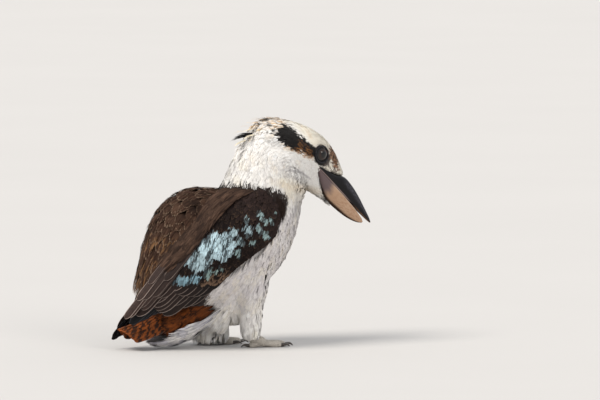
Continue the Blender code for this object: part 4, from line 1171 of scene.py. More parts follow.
def covert_colours(places, stations, draw):
    """Dark brown coverts with a paler rim, and blue strokes where the wing is marked."""
    along, across = places[..., 0] / WING_RUN, places[..., 1] / WING_HALF_WIDTHS[2]
    count, barbs, _ = along.shape
    # Painted light: the coverts are lighter at the shoulder and fade to their own dark brown lower down
    brown = mix(SHOULDER_PAINTED_LIGHT_BROWN, COVERT_BROWN, soft_step(0.16, 0.36, along)[..., None])
    brown = brown * np.exp(draw.normal(0, 0.16, (count, 1, 1, 1)))
    brown = brown * np.exp(draw.normal(0, 0.10, (count, barbs, 1, 1)))
    paleness = draw.choice([0.15, 0.5, 0.9], (count, 1, 1, 1), p=[0.5, 0.3, 0.2])
    rim = soft_step(0.84, 0.96, stations)[None, None, :, None] * paleness
    # The barbs carry painted shade toward their roots
    colour = mix(brown * painted_root_shade(stations, 0.75), COVERT_BUFF * 0.75, rim * 0.6)
    low = soft_step(0.5, 0.56, along) * soft_step(-0.36, -0.44, across) * soft_step(0.6, 0.8, stations)
    low = low * draw.choice([0.0, 0.9], (count, 1, 1), p=[0.55, 0.45])
    colour = mix(colour, COVERT_BUFF, low[..., None])
    # A barb is blue along its outer half, if its middle is in a marked place
    x, y = places[:, :, 3, 0].ravel(), places[:, :, 3, 1].ravel()
    grain = np.stack([x * 0.25 + y * 0.1, y - x * 0.1, 0 * x], axis=1)
    stroke = ripple(grain, 3.0, 21)
    blotch = ripple(np.stack([x, y, 0 * x], axis=1), 11, 22)
    scale = np.array([WING_RUN, WING_HALF_WIDTHS[2]])
    blue = np.zeros(len(x))
    hue = np.tile(PALE_BLUE, (len(x), 1))
    for outline, shade_of_it, most in BLUE_FIELDS:
        share = soft_step(-1.6, 1.0, inside(x, y, np.array(outline) * scale) + blotch * 1.1) * most
        hue = np.where((share > blue)[:, None], shade_of_it, hue)
        blue = np.maximum(blue, share)
    for spot_along, spot_across, reach, blueness in BLUE_SPOTS:
        away = np.hypot(x - spot_along * scale[0], (y - spot_across * scale[1]) * 0.9)
        away = away + stroke * 0.7 + blotch * 0.8
        share = soft_step(reach + 0.7, reach - 0.9, away) * 0.8
        hue = np.where((share > blue)[:, None], mix(GREEN_GREY, PALE_BLUE, blueness), hue)
        blue = np.maximum(blue, share)
    blue = blue * mix(0.2, 1.0, soft_step(-0.6, 0.0, stroke + draw.normal(0, 0.25, len(x))))
    greener = soft_step(0.1, 1.0, -stroke + draw.normal(0, 0.3, len(x))) * 0.7
    hue = mix(hue, TURQUOISE * 0.8, greener[:, None])
    start = draw.uniform(0.28, 0.5, (count, barbs, 1))
    outer = soft_step(start, start + 0.12, stations[None, None, :])
    outer = outer * soft_step(1.05, 0.93, stations)[None, None, :]
    share = blue.reshape(count, barbs, 1) * outer
    return mix(colour, hue.reshape(count, barbs, 1, 3), share[..., None])


def scapular_colours(places, stations, draw):
    """Streaky brown scapulars, each barb a little lighter or darker."""
    count, barbs = places.shape[:2]
    grain = places[:, :, 3].reshape(-1, 2) @ np.array([[0.3, 0, 0], [0, 1, 0]])
    light = soft_step(-0.4, 1.2, ripple(grain, 7, 23))
    light = light.reshape(count, barbs, 1, 1) * 0.5 + draw.uniform(0, 0.35, (count, 1, 1, 1))
    light = light + draw.choice([0.0, 0.35], (count, barbs, 1, 1), p=[0.85, 0.15])
    # Painted shade toward the barbs' roots
    return mix(SCAPULAR_BROWN, SCAPULAR_LIGHT, np.clip(light, 0, 1)) * painted_root_shade(stations, 0.6)


def long_feathers(tertial_tips, back):
    """The long feathers of a wing, from the primaries up, so that each row lies over the one before."""
    pale_edge = {"trim": shade(176, 158, 148), "trimmed": 0.9}
    rows = []
    rows += row_of(9, ((0.48, 0.4), (0.42, -0.62)), ((1.0, 0.70 * back), (0.76, -0.80)), (10, 9),
                   (-1.2, -5.4), 31, tint=PRIMARY_BLACK, trim=shade(84, 84, 90), trimmed=0.6, blunt=1.1)
    rows += row_of(9, ((0.36, 0.75), (0.30, -0.60)), ((0.93, 0.82 * back), (0.745, -0.78)), (15, 15),
                   (0.9, -1.6), 32, tint=FLIGHT_BROWN, blunt=0.9, stagger=0.025, **pale_edge)
    rows += row_of(8, ((0.36, 0.78), (0.30, -0.60)), ((0.83, 0.82 * back), (0.69, -0.78)), (14, 12),
                   (2.4, -0.2), 37, tint=FLIGHT_BROWN * 0.85, blunt=0.9, stagger=0.02, **pale_edge)
    for step in range(3):
        tips = [(a - 0.085 * step, b + 0.03 * step) for a, b in tertial_tips]
        roots = ((0.42 - 0.05 * step, 1.24 * back), (0.38 - 0.05 * step, 0.86 * back))
        rows += row_of(4 - step, roots, tips, (8, 9), (5.2 + 0.6 * step, 4.4 + 0.6 * step), 33 + 10 * step,
                       tint=FLIGHT_BROWN * 1.35, blunt=0.9, stagger=0.02, darker=0.85, **pale_edge)
    rows += row_of(13, ((0.38, 0.80), (0.26, -0.66)), ((0.77, 0.84), (0.625, -0.84)), (10, 9), (3.2, 1.0), 34,
                   tint=COVERT_BROWN * 1.2, trim=shade(84, 68, 58), trimmed=0.4, blunt=0.6)
    return rows


def covert_places(draw):
    """The roots and tips of the coverts on the sheet. They point down rather than straight along the wing."""
    roots, tips, lengths = [], [], []
    for row, along in enumerate(np.arange(-0.12, 0.68, 0.0185)):
        for across in np.arange(-1.04, 0.98, 0.135) + 0.0675 * (row % 2):
            root = np.array([along, across]) + draw.normal(0, [0.004, 0.022])
            length = np.interp(along, [-0.1, 0.1, 0.3, 0.55, 0.6], [8, 9.5, 11.5, 14, 16])
            length = length * draw.uniform(0.88, 1.12)
            turn = math.radians(np.interp(along, [0, 0.25, 0.6], [8, 24, 30])) * soft_step(-1.0, -0.5, across)
            tip = root + [math.cos(turn) * length / WING_RUN, -math.sin(turn) * length / WING_HALF_WIDTHS[2]]
            end = np.interp(tip[1], [-0.97, 0, 0.74], [0.585, 0.675, 0.745])
            in_front = tip[0] < np.interp(tip[1], *FRONT_EDGE) + 0.03
            under_scapulars = across > np.interp(along, *SCAPULAR_EDGE) + 0.1
            if in_front or under_scapulars or tip[0] > end + 0.03:
                continue
            root[0] = max(root[0], np.interp(root[1], *FRONT_EDGE) - 0.005)
            tip[1] = max(tip[1], np.interp(tip[0], *BELLY_EDGE) - 0.02)
            root[1] = max(root[1], np.interp(root[0], *BELLY_EDGE) + 0.05)
            roots.append(root)
            tips.append(tip)
            lengths.append(length)
    return np.array(roots), np.array(tips), np.array(lengths)


def scapular_places(sheet, last, below_hood, draw):
    """The roots and tips of the scapulars, all some way below the pale hood."""
    roots, tips = [], []
    for row, along in enumerate(np.arange(-0.04, last, 0.03)):
        for across in np.arange(0.0, 0.62, 0.115) + 0.057 * (row % 2):
            tip_along = along + 0.115 * draw.uniform(0.85, 1.15)
            tip_across = np.interp(tip_along, *SCAPULAR_EDGE) + 0.05 + across + draw.normal(0, 0.025)
            root_across = np.interp(along, *SCAPULAR_EDGE) + 0.09 + across
            root, tip = (max(along, 0.015 + across * 0.06), root_across), (tip_along, tip_across)
            root_at, tip_at = np.array(root), np.array(tip)
            shown = [sheet.point_and_out(*mix(root_at, tip_at, share), 7.0)[0] for share in (0.4, 1.0)]
            if all(point[2] < hood_line(point[0]) - below_hood for point in shown):
                roots.append(root)
                tips.append(tip)
    return np.array(roots), np.array(tips)


wing_finish = vane_finish("wing_vanes", 0.55, 0.7)
UNDERLAY_COLOUR = (0.016, 0.012, 0.010, 1)
underlay_finish = Finish(
    "vane_underlay", Base_Color=UNDERLAY_COLOUR, Roughness=0.85, Specular_IOR_Level=0.1
)
underlay_finish.bump(underlay_finish.noise(underlay_finish.place(), 600, 3.0), 0.5, 0.4)
wing_sheets = {}
for side_name, line in (("right", RIGHT_WING), ("left", LEFT_WING)):
    sheet = Sheet(line, WING_HALF_WIDTHS, WING_ROUNDING, WING_OUTWARD)
    wing_sheets[side_name] = sheet
    WING_RUN = sheet.run
    turned = side_name == "left"
    feathers = long_feathers(TERTIAL_TIPS[side_name], BACK_REACH[side_name])
    piece = dress(side_name + "_wing_feathers", "wing_feathers", wing_finish, sheet, feathers, 60 + turned,
                  turned)
    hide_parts("wing_" + side_name)
    lens(side_name + "_wing_underlay", sheet, -0.01, 0.72, 0.96, -4.8, 6.0, underlay_finish, "wing_feathers",
         turned)
    draw = np.random.default_rng(90 + turned)
    roots, tips, lengths = covert_places(draw)
    top = covert_height(tips[:, 0], tips[:, 1]) + draw.uniform(-0.4, 0.5, len(tips))
    sheet_tufts(side_name + "_wing_coverts", "wing_feathers", dark_finish, sheet, roots, tips,
                np.stack([top - 2.6, top + 0.3, top], axis=1), lengths * 0.52 + 0.6, covert_colours, 12,
                92 + turned, turned, blunt=0.32, narrowing=0.3, fullness=2.0)
    roots, tips = scapular_places(sheet, 0.6 if turned else 0.64, 9.0 if turned else 1.0, draw)
    top = np.interp(tips[:, 0], [0, 0.3, 0.6, 0.9], [6.4, 7.6, 6.6, 5.0]) + draw.uniform(-0.5, 0.6, len(tips))
    sheet_tufts(side_name + "_scapulars", "wing_feathers", dark_finish, sheet, roots, tips,
                np.stack([top - 3.4, top + 0.4, top - 0.2], axis=1), np.full(len(roots), 8.5),
                scapular_colours, 14, 94 + turned, turned, blunt=0.34, narrowing=0.3, fullness=1.8)


# The cape of puffed feathers over the back, each brown with a thin paler edge, and rubbed to buff low down.
# They grow in rows from the skin of the back, and each row lies over the roots of the one behind it.
CAPE = [(-2, 3, 160), (-38, 4, 163), (-64, 5, 152), (-80, 6, 132), (-90, 7, 106), (-97, 8, 76)]
CAPE_HALF_WIDTHS = [28, 40, 43, 41, 34, 20]
CAPE_ROUNDING = 34
MANTLE_BROWN = shade(54, 36, 27)
MANTLE_LIGHT = shade(80, 58, 45)
MANTLE_EDGE = shade(130, 108, 90)
BUFF_BROWN = shade(134, 98, 64)


def cape_colours(places, stations, draw):
    """Brown feathers with thin pale edges, streaked with buff low on the sides and nearly black above."""
    count, barbs, _ = places.shape[:3]
    along, across = places[..., 0] / cape_sheet.run, places[..., 1] / float(cape_sheet.half(0.4)[0])
    spot = np.stack([places[..., 0].ravel(), places[..., 1].ravel(), 0 * along.ravel()], axis=1)
    light = soft_step(-0.8, 1.1, ripple(spot * [0.5, 1, 1], 16, 31)).reshape(along.shape) * 0.6
    light = light + draw.normal(0.1, 0.14, (count, 1, 1)) + draw.normal(0, 0.12, (count, barbs, 1))
    light = np.clip(light, 0, 1)
    colour = mix(MANTLE_BROWN, MANTLE_LIGHT, light[..., None])
    dark = soft_step(0.42, 0.3, along) * soft_step(0.1, 0.5, np.abs(across))
    dark = dark * soft_step(-0.7, 0.3, ripple(spot, 20, 32)).reshape(along.shape)
    colour = mix(colour, MANTLE_BROWN * 0.45, (dark * 0.85)[..., None])
    rubbed = soft_step(0.25, 0.9, ripple(spot * [0.25, 1, 1], 6, 33)).reshape(along.shape)
    rubbed = rubbed * soft_step(0.62, 0.8, along) * soft_step(0.35, 0.6, stations)[None, None, :]
    colour = mix(colour, BUFF_BROWN, (rubbed * 0.75)[..., None])
    paleness = draw.choice([0.2, 0.7, 1.0], (count, 1, 1), p=[0.25, 0.4, 0.35])
    edge = soft_step(0.86, 0.95, stations)[None, None, :] * paleness
    edge = edge * draw.uniform(0.7, 1.0, (count, barbs, 1))
    colour = mix(colour, MANTLE_EDGE, edge[..., None])
    # Painted shade toward the barbs' roots
    return colour * painted_root_shade(stations, 0.5, 0.15)


cape_sheet = Sheet(CAPE, CAPE_HALF_WIDTHS, CAPE_ROUNDING, (-0.6, 0, 0.8))
draw = np.random.default_rng(70)
roots, tips, heights, widths = [], [], [], []
for step, tip_along in enumerate(np.arange(1.08, 0.03, -0.064)):
    reach = np.interp(tip_along, [0.9, 1.0, 1.15], [1.06, 0.98, 0.6])
    count = int(round(10 * reach))
    for across in np.linspace(-reach, reach, count) + (0.11 if step % 2 else 0):
        length = 23 * draw.uniform(0.92, 1.1)
        tip = np.array([tip_along, across]) + draw.normal(0, [0.014, 0.03])
        root = np.array([tip[0] - length / cape_sheet.run, tip[1] * 0.94])
        top = 1.6 + 2.0 * soft_step(1.0, 0.3, tip_along) + draw.uniform(-0.3, 0.5)
        roots.append(root)
        tips.append(tip)
        heights.append((top - 3.2, top + 0.7, top))
        widths.append(16.5 * draw.uniform(0.9, 1.1) * (0.85 if tip_along > 0.95 else 1.0))
cape = sheet_tufts("cape_vanes", "back_feathers", dark_finish, cape_sheet, np.array(roots), np.array(tips),
                   np.array(heights), np.array(widths), cape_colours, 20, 71, blunt=0.4, narrowing=0.3,
                   fullness=2.0, uneven=0.022)
# Painted shade: the cape's underlay is the mantle brown at half strength, where it shows between the cape's
# feathers
cape_under_finish = Finish(
    "cape_underlay", Base_Color=(*(MANTLE_BROWN * 0.5), 1), Roughness=0.9, Specular_IOR_Level=0.1
)
cape_under_finish.bump(cape_under_finish.noise(cape_under_finish.place(), 500, 3.0), 0.5, 0.4)
lens("cape_underlay", cape_sheet, 0.0, 0.97, 1.03, -7.4, 13.0, cape_under_finish, "back_feathers")
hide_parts("mantle")


# The tail: twelve rusty feathers barred with black, the outer ones edged with white. They grow from the
# rump, between barred coverts above and soft white ones below.
TAIL = [(-44, 0, 52), (-74, 0, 39), (-104, 0, 27), (-133, 0, 16)]
TAIL_HALF_WIDTHS = [16, 24, 25, 19]
TAIL_ROUNDING = 16
TAIL_PAIRS = 6
UNDERTAIL = [(-26, 0, 26), (-48, 0, 13), (-70, 0, 9), (-91, 0, 10)]
TAIL_RUST = shade(128, 67, 26)
UNDERTAIL_GREY = shade(196, 194, 204)


def undertail_colours(places, stations, draw):
    count, barbs = places.shape[:2]
    tone = draw.uniform(0.8, 1.1, (count, barbs, 1, 1)) * draw.uniform(0.9, 1.1, (count, 1, 1, 1))
    # Painted shade toward the barbs' roots
    return mix(UNDERTAIL_GREY, WHITE, draw.random((count, 1, 1, 1))) * tone * painted_root_shade(stations, 0.7)


def rump_colours(places, stations, draw):
    count, barbs = places.shape[:2]
    tone = draw.uniform(0.6, 1.1, (count, barbs, 1, 1))
    uneven = ripple(places[:, :, 0].reshape(-1, 2) @ np.eye(2, 3), 14, 34).reshape(count, barbs, 1) * 1.2
    wave = np.sin(places[..., 0] * (2 * math.pi / 8) + uneven + draw.normal(0, 0.3, (count, barbs, 1)))
    rusty = mix(TAIL_RUST * 1.1, FLIGHT_BROWN, draw.random((count, 1, 1, 1)) * 0.45)
    barred = mix(rusty, BLACK, (soft_step(0.0, 0.6, wave) * 0.85)[..., None])
    # Painted shade toward the barbs' roots
    return barred * tone * painted_root_shade(stations, 0.6)


tail_sheet = Sheet(TAIL, TAIL_HALF_WIDTHS, TAIL_ROUNDING, (0, 0, 1))
under_sheet = Sheet(UNDERTAIL, [18, 22, 20, 13], 19, (0, 0, -1))
tail_rows = []
for pair in range(TAIL_PAIRS)[::-1]:
    share = pair / (TAIL_PAIRS - 1)
    for side_way in (-1, 1):
        across = side_way * mix(0.10, 0.98, share)
        tip_height = mix(1.8, 0.2, share) + side_way * 0.3
        tail_rows.append({
            "root": (0.12, across * 0.8), "tip": (mix(0.88, 0.80, share), across * 0.82), "width": 12,
            "roll": 0.0, "heights": (-2.4, tip_height), "blunt": 0.45, "trimmed": 0.4, "fray": 1.6,
            "tint": TAIL_RUST * (1.1 - 0.25 * share),
            "trim": mix(TAIL_RUST, shade(196, 186, 178), soft_step(0.8, 1.0, share)),
        })
tail_finish = vane_finish("tail_vanes", 0.7, 0.7, bars=(8.5, 0.9, BLACK))
tail = dress("tail_vanes", "tail_feathers", tail_finish, tail_sheet, tail_rows, 63, marked=True)
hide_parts("tail")
lens("tail_underlay", tail_sheet, 0.0, 0.5, 0.85, -3.2, 3.0, underlay_finish, "tail_feathers")
draw = np.random.default_rng(80)
roots, tips = [], []
for tip_along in np.arange(0.46, 0.04, -0.07):
    for across in np.linspace(-1.75, 1.75, 17):
        tip = np.array([tip_along, across]) + draw.normal(0, [0.02, 0.04])
        tips.append(tip)
        roots.append((max(tip[0] - 0.22, -0.08), tip[1]))
roots, tips = np.array(roots), np.array(tips)
top = 3.2 - 1.2 * np.minimum(np.abs(tips[:, 1]), 1.2) + draw.uniform(-0.3, 0.5, len(tips))
sheet_tufts("rump_feathers", "tail_feathers", dark_finish, tail_sheet, roots, tips,
            np.stack([top - 2.6, top + 0.3, top], axis=1), np.full(len(roots), 9.0), rump_colours, 14, 81,
            blunt=0.3, narrowing=0.3)
roots, tips = [], []
for tip_along in np.arange(0.98, 0.12, -0.06):
    for across in np.linspace(-1.0, 1.0, 11) * np.interp(tip_along, [0.6, 1.04], [1.0, 0.6]):
        tip = np.array([tip_along, across]) + draw.uniform(-1, 1, 2) * [0.03, 0.1]
        tips.append(tip)
        roots.append(tip - [0.32, across * 0.1])
roots, tips = np.array(roots), np.array(tips)
top = 2.6 + 2.0 * soft_step(0.2, 0.6, tips[:, 0]) - 1.0 * np.abs(tips[:, 1])
top = top + draw.uniform(-1.5, 1.5, len(tips))
sheet_tufts("undertail_coverts", "body_feathers", pale_finish, under_sheet, roots, tips,
            np.stack([top - 2.4, top + 0.8, top + 0.2], axis=1), np.full(len(roots), 11.0), undertail_colours,
            14, 82, blunt=0.3, narrowing=0.3, uneven=0.10, fullness=1.5)


# The bill is horn: a slate-black upper half and a peach lower one, purple-grey at its root under the cheek.
# Stations: how far ahead of the eyes, the ridge or the keel, the cutting edge, half the width there, and how
# boxy it is
UPPER_BILL = [
    (8, -8.2, -10.4, 18.6, 0.5), (20, -4.6, -10.3, 16.2, 0.5), (32, -0.5, -10.3, 13.3, 0.6),
    (43, 4.6, -10.4, 11.0, 0.7), (56, 4.1, -10.4, 8.8, 0.85), (70, 0.9, -10.4, 6.5, 0.9),
    (84, -3.6, -10.4, 4.2, 0.95), (94, -7.0, -10.4, 2.2, 1.0), (98.5, -9.2, -10.0, 0.5, 1.0),
]
LOWER_BILL = [
    (8, -11.7, -10.5, 18.3, 0.5), (20, -17.9, -10.7, 15.9, 0.55), (32, -23.3, -10.9, 13.1, 0.65),
    (43, -26.2, -11.1, 10.9, 0.75), (56, -26.2, -11.3, 8.6, 0.85), (70, -25.0, -12.0, 6.4, 0.9),
    (80, -22.8, -12.9, 4.6, 0.95), (87, -20.0, -13.9, 3.0, 1.0), (91.5, -16.8, -15.2, 0.9, 1.0),
]
BILL_LIP = 0.5
BILL_STEPS = 90
BILL_COUNT = 64
NOSTRIL = (49.0, 0.4)
NOSTRIL_SIZE = (3.4, 1.0)


def grid_piece(name, steps, count, surface, finish, slot, map_name=None):
    """A closed tube of a piece: a flat grid wrapped round by surface(share, turn), which gives a point and
    its place on the piece's map. Turn runs once round from -pi to pi."""
    shape = bmesh.new()
    bmesh.ops.create_grid(shape, x_segments=steps, y_segments=count, size=0.5)
    shape.verts.ensure_lookup_table()
    found = [surface(v.co.x + 0.5, v.co.y * 2 * math.pi) for v in shape.verts]
    if map_name:
        flat = shape.loops.layers.uv.new(map_name)
        for face in shape.faces:
            for corner in face.loops:
                corner[flat].uv = found[corner.vert.index][1]
    for v, (point, _) in zip(shape.verts, found):
        v.co = Vector((point + SHIFT) * MM)
    bmesh.ops.remove_doubles(shape, verts=shape.verts, dist=1e-6)
    bmesh.ops.holes_fill(shape, edges=[e for e in shape.edges if e.is_boundary])
    bmesh.ops.recalc_face_normals(shape, faces=shape.faces)
    return set_up(linked(name, mesh_from(shape, name)), finish, slot)


def horn_surface(stations, upper):
    """One half of the bill, round its outer side and its closed inner one."""
    line = curve(stations)

    def surface(share, turn):
        ahead, far, edge, half_side, power = line(share**0.9)
        c, s = math.cos(turn), math.sin(turn)
        outer = (c > 0) == upper
        high = edge + (abs(c) ** power * (far - edge) if outer else c * BILL_LIP)
        wide = math.copysign(abs(s) ** (power if outer else 1.0), s) * half_side
        if upper:
            pit = math.hypot((ahead - NOSTRIL[0]) / NOSTRIL_SIZE[0], (high - NOSTRIL[1]) / NOSTRIL_SIZE[1])
            wide *= 1 - 0.10 * math.exp(-pit * pit)
        return on_head(ahead, wide, high), (ahead / 100, abs(turn) / math.pi)

    return surface


def horn_finish(name):
    """Horn with a soft shine, and its readings: ahead in millimetres, round it, its grain and its clouds."""
    finish = Finish(name, Roughness=0.5, Specular_IOR_Level=0.0, Coat_Roughness=0.3, Coat_IOR=1.35)
    ahead, turn = finish.flat_place("Horn")
    grain_at = finish.node("CombineXYZ", {}, [ahead * 60, turn * 60, 0.0])
    return finish, ahead * 100, turn, finish.noise(grain_at, 0.5, 4.0, 0.6), finish.noise(grain_at, 0.09, 3.0)


upper_finish, ahead_mm, turn, grain, cloud = horn_finish("upper_horn")
colour = upper_finish.blend(cloud, shade(14, 12, 13), shade(27, 25, 28))
# Painted highlight: a paler grey gloss band along the upper bill's side, broken by its grain
painted_gloss_band = upper_finish.ramp(turn, 0.12, 0.26) * (1 - upper_finish.ramp(turn, 0.27, 0.40))
painted_gloss_band = painted_gloss_band * upper_finish.ramp(grain, 0.35, 0.6)
colour = upper_finish.blend(painted_gloss_band * upper_finish.ramp(ahead_mm, 40, 52) * 0.6, colour, shade(92, 90, 98))
edge = upper_finish.ramp(turn, 0.488, 0.496)
near_root = edge * (1 - upper_finish.ramp(ahead_mm, 56, 68))
colour = upper_finish.blend(near_root * 0.8, colour, shade(170, 148, 142))
colour = upper_finish.blend(edge * upper_finish.ramp(ahead_mm, 66, 78) * 0.6, colour, shade(128, 92, 66))
upper_finish.feed("Base Color", colour)
upper_finish.feed("Coat Weight", 0.75 - edge * 0.5)
upper_finish.bump(grain, 0.25, 0.2)
lower_finish, ahead_mm, turn, grain, cloud = horn_finish("lower_horn")
colour = lower_finish.blend(cloud, shade(176, 140, 112), shade(198, 168, 142))
blotch = lower_finish.ramp(grain, 0.42, 0.7) * lower_finish.ramp(ahead_mm, 40, 60) * 0.6
colour = lower_finish.blend(blotch, colour, shade(146, 98, 66))
colour = lower_finish.blend((1 - lower_finish.ramp(turn, 0.50, 0.514)) * 0.8, colour, shade(206, 184, 164))
root = 1 - lower_finish.ramp(ahead_mm + (cloud - 0.5) * 16, 33, 42)
colour = lower_finish.blend(root * 0.9, colour, shade(92, 80, 86))
keel = lower_finish.ramp(turn + (cloud - 0.5) * 0.1, 0.76, 0.88)
colour = lower_finish.blend(keel * 0.95, colour, shade(40, 30, 26))
lower_finish.feed("Coat Weight", 0.6 - keel * 0.6)
lower_finish.feed("Base Color", colour)
lower_finish.bump(grain, 0.2, 0.2)
upper = grid_piece("upper_bill", BILL_STEPS, BILL_COUNT, horn_surface(UPPER_BILL, True), upper_finish,
                   "dark_horn", "Horn")
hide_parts("bill_upper")
lower = grid_piece("lower_bill", BILL_STEPS, BILL_COUNT, horn_surface(LOWER_BILL, False), lower_finish,
                   "pale_horn", "Horn")
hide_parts("bill_lower")


# The eyes are dark brown and wet, each in a ring of bare wrinkled lid skin with a pale edge. They are set
# in the sides of the head, and the lids close round them.
EYE_RADIUS = 8.4
EYE_AXIS = (0.30, 1.0, 0.24)
PUPIL = 0.92
IRIS = 0.70
LID_RADIUS = 8.5
LID_LIFT = 3.8
LID_THICK = 1.1
LID_WRINKLES = 23

lid_finish = Finish("lid_skin", Roughness=0.55, Specular_IOR_Level=0.2)
_, lid_over = lid_finish.flat_place("Lid")
lid_grain = lid_finish.noise(lid_finish.place(), 1600, 3.0)
lid_colour = lid_finish.blend(lid_grain, shade(14, 11, 12), shade(30, 25, 27))
pale_rim = lid_finish.ramp(lid_over, 0.70, 0.74) * (1 - lid_finish.ramp(lid_over, 0.80, 0.86))
pale_rim = pale_rim * lid_finish.ramp(lid_grain, 0.4, 0.7) * 0.45
lid_colour = lid_finish.blend(pale_rim, lid_colour, shade(112, 116, 132))
lid_finish.feed("Base Color", lid_colour)
lid_finish.bump(lid_grain, 0.5, 0.3)
for side_name, way in (("right", -1), ("left", 1)):
    middle = on_head(0, way * EYE_OUT, 0)
    axis = unit(AHEAD * EYE_AXIS[0] + LEFT * way * EYE_AXIS[1] + UP * EYE_AXIS[2])
    over = unit(UP - axis * axis.dot(UP))
    along = np.cross(axis, over)
    ball = bmesh.new()
    bmesh.ops.create_uvsphere(ball, u_segments=48, v_segments=32, radius=EYE_RADIUS * MM)
    turning = Matrix(np.array([along, over, axis]).T.tolist()).to_4x4()
    bmesh.ops.transform(ball, matrix=turning, verts=ball.verts)
    bmesh.ops.translate(ball, vec=Vector((middle + SHIFT) * MM), verts=ball.verts)
    bmesh.ops.recalc_face_normals(ball, faces=ball.faces)
    eyeball = linked(side_name + "_eyeball", mesh_from(ball, side_name + "_eyeball"))
    eye_finish = Finish(side_name + "_eye", Roughness=0.3, Specular_IOR_Level=0.0, Coat_Weight=1.0,
                        Coat_Roughness=0.02, Coat_IOR=1.48)
    centre = tuple((middle + SHIFT) * MM)
    towards = eye_finish.node("VectorMath", {"operation": "SUBTRACT"}, {0: eye_finish.place(), 1: centre})
    towards = eye_finish.node("VectorMath", {"operation": "NORMALIZE"}, {0: towards})
    facing = eye_finish.node(
        "VectorMath", {"operation": "DOT_PRODUCT"}, {0: towards, 1: tuple(axis)}, "Value"
    )
    fibres = eye_finish.noise(eye_finish.place(), 700, 3.0)
    iris = eye_finish.blend(fibres, shade(26, 14, 10), shade(48, 28, 18))
    in_pupil = eye_finish.ramp(facing, PUPIL - 0.01, PUPIL + 0.005)
    colour = eye_finish.blend(in_pupil, iris, (0.002, 0.002, 0.002))
    colour = eye_finish.blend(1 - eye_finish.ramp(facing, IRIS, IRIS + 0.06), colour, (0.006, 0.005, 0.005))
    eye_finish.feed("Base Color", colour)
    set_up(eyeball, eye_finish, "eye")
    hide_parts("eye_" + side_name)

    def lid_surface(share, turn):
        """A thin ring round the eye, wrinkled outside and drawn out at the corners."""
        round_eye = share * 2 * math.pi
        out = along * math.cos(round_eye) + over * math.sin(round_eye)
        corner = 1 + 0.10 * math.cos(round_eye) ** 8
        fold = 1 + 0.10 * math.sin(round_eye * LID_WRINKLES) * max(0, math.cos(turn))
        point = middle + axis * (LID_LIFT + LID_THICK * 1.3 * math.sin(turn))
        point = point + out * (LID_RADIUS * corner + LID_THICK * fold * math.cos(turn))
        return point, (share, turn / 2 / math.pi + 0.5)

    grid_piece(side_name + "_lids", 120, 20, lid_surface, lid_finish, "foot_skin", "Lid")


# The feet are bare, with rows of scutes on the short shanks and the toes, and curved claws of dark horn.
# Three toes point ahead and one back from the end of each shank, and a claw grows from the end of each toe.
TOES = [("inner", -24, 17, 3.7), ("middle", 0, 26, 4.1), ("outer", 15, 21, 3.8), ("back", 184, 14, 3.6)]
ANKLES = {"right": (16.5, -22, -1), "left": (-18, 20, 1)}
TOE_END_SHARE = 0.72
ANKLE_RADIUS = 6.2
SHANK_DROP = [(0, 12), (6, 8.6), (12, 5.4)]
CLAW_LENGTH = 8.5
CLAW_RADIUS = 1.8
CLAW_GAP = 0.6
SOLE_SHARE = 0.88
SCUTE_LENGTH = 2.3
SCUTE_RISE = 0.28
FOOT_VOXEL = 0.42
SHANK_RADII = [(5.6,), (ANKLE_RADIUS,), (5.2,), (4.8,), (4.2,)]


def rounded(share, ends=0.12):
    """1 along a tube, and down to 0 at its two rounded ends."""
    near = min(share, 1 - share) / ends
    return math.sqrt(max(0.0, 1 - (1 - min(near, 1)) ** 2))


def tube_surface(line, radii, scutes=0.0, length=1.0, ends=0.12):
    """A tube along a line, with rounded ends, a flat sole at the floor and scutes over its top."""
    def surface(share, turn):
        ahead = unit(line(min(share + 0.02, 1)) - line(max(share - 0.02, 0)))
        side = unit(np.cross([0, 0.05, 1.0] if abs(ahead[2]) < 0.9 else [1.0, 0, 0], ahead))
        up = np.cross(ahead, side)
        saw = (share * length / SCUTE_LENGTH) % 1.0
        rise = scutes * (saw**0.5 - 0.5) * max(0.0, math.cos(turn)) ** 0.5
        radius = (float(radii(share)[0]) + rise) * rounded(share, ends)
        point = line(share) + (up * math.cos(turn) + side * math.sin(turn)) * radius
        point[2] = max(point[2], 0.0)
        return point, (share, turn / 2 / math.pi + 0.5)

    return surface


foot_finish = Finish("foot_skin", Roughness=0.6, Specular_IOR_Level=0.35)
scale_inputs = {"Vector": foot_finish.place(), "Scale": 900.0}
scales = foot_finish.node("TexVoronoi", {"feature": "DISTANCE_TO_EDGE"}, scale_inputs)
worn = foot_finish.noise(foot_finish.place(), 300, 3.0)
foot_colour = foot_finish.blend(worn, shade(176, 168, 156), shade(204, 198, 188))
crack = 1 - foot_finish.ramp(scales, 0.02, 0.12)
foot_finish.feed("Base Color", foot_finish.blend(crack * 0.6, foot_colour, shade(112, 102, 94)))
foot_finish.bump(foot_finish.ramp(scales, 0.0, 0.2) + worn * 0.4, 0.5, 0.25)
claw_finish = Finish("claw_horn", Roughness=0.3, Coat_Weight=0.3, Coat_Roughness=0.2)
claw_grain = claw_finish.noise(claw_finish.place(), 500, 3.0)
claw_finish.feed("Base Color", claw_finish.blend(claw_grain, shade(34, 29, 27), shade(76, 66, 58)))
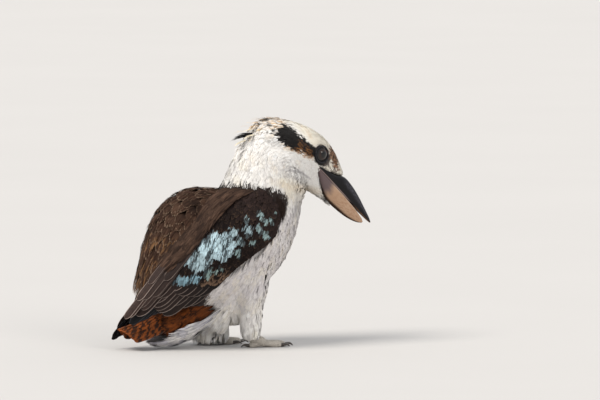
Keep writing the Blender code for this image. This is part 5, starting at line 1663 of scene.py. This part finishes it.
claw_finish.bump(claw_grain, 0.2, 0.15)
for side_name, (ankle_x, ankle_y, way) in ANKLES.items():
    start = np.array([ankle_x + SHANK_DROP[-1][0] - 1, ankle_y, SHANK_DROP[-1][1] - 0.8])
    shank = curve([(ankle_x + x, ankle_y, z) for x, z in [(-5, 16), *SHANK_DROP, (14, 4.6)]])
    shank_surface = tube_surface(shank, curve(SHANK_RADII), SCUTE_RISE, 22)
    tubes = [grid_piece("shank", 40, 28, shank_surface, foot_finish, "foot_skin")]
    for toe_name, turn_out, length, thick in TOES:
        heading = math.radians(turn_out) * way
        ahead = np.array([math.cos(heading), math.sin(heading), 0])
        low = thick * TOE_END_SHARE * SOLE_SHARE
        line = curve([
            start, start + ahead * length * 0.5 + [0, 0, thick * SOLE_SHARE - start[2]],
            start + ahead * length + [0, 0, low - start[2]],
        ])
        radii = curve([(thick,), (thick * 0.86,), (thick * 0.92,), (thick * TOE_END_SHARE,)])
        toe_surface = tube_surface(line, radii, SCUTE_RISE, length)
        tubes.append(grid_piece("toe", 60, 28, toe_surface, foot_finish, "foot_skin"))
        tip = line(1.0) + ahead * CLAW_GAP
        bend = tip + ahead * CLAW_LENGTH * 0.55 + [0, 0, 0.5]
        point = tip + ahead * CLAW_LENGTH + [0, 0, -tip[2] + 0.5]
        claw_line = curve([tip - ahead * 1.6, tip, bend, point])
        claw_radii = curve([(CLAW_RADIUS * 0.9,), (CLAW_RADIUS,), (1.2,), (0.3,)])
        claw_surface = tube_surface(claw_line, claw_radii, ends=0.08)
        claw = grid_piece(f"{side_name}_{toe_name}_claw", 30, 20, claw_surface, claw_finish, "claw_horn")
        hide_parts(f"claw_{side_name}_{toe_name}")
    foot_shape = bmesh.new()
    for tube in tubes:
        foot_shape.from_mesh(tube.data)
        bpy.data.objects.remove(tube)
    foot = linked(side_name + "_foot", mesh_from(foot_shape, side_name + "_foot"))
    fuse(foot, FOOT_VOXEL, 0.4, 1)
    set_up(foot, foot_finish, "foot_skin")
    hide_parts("foot_" + side_name)
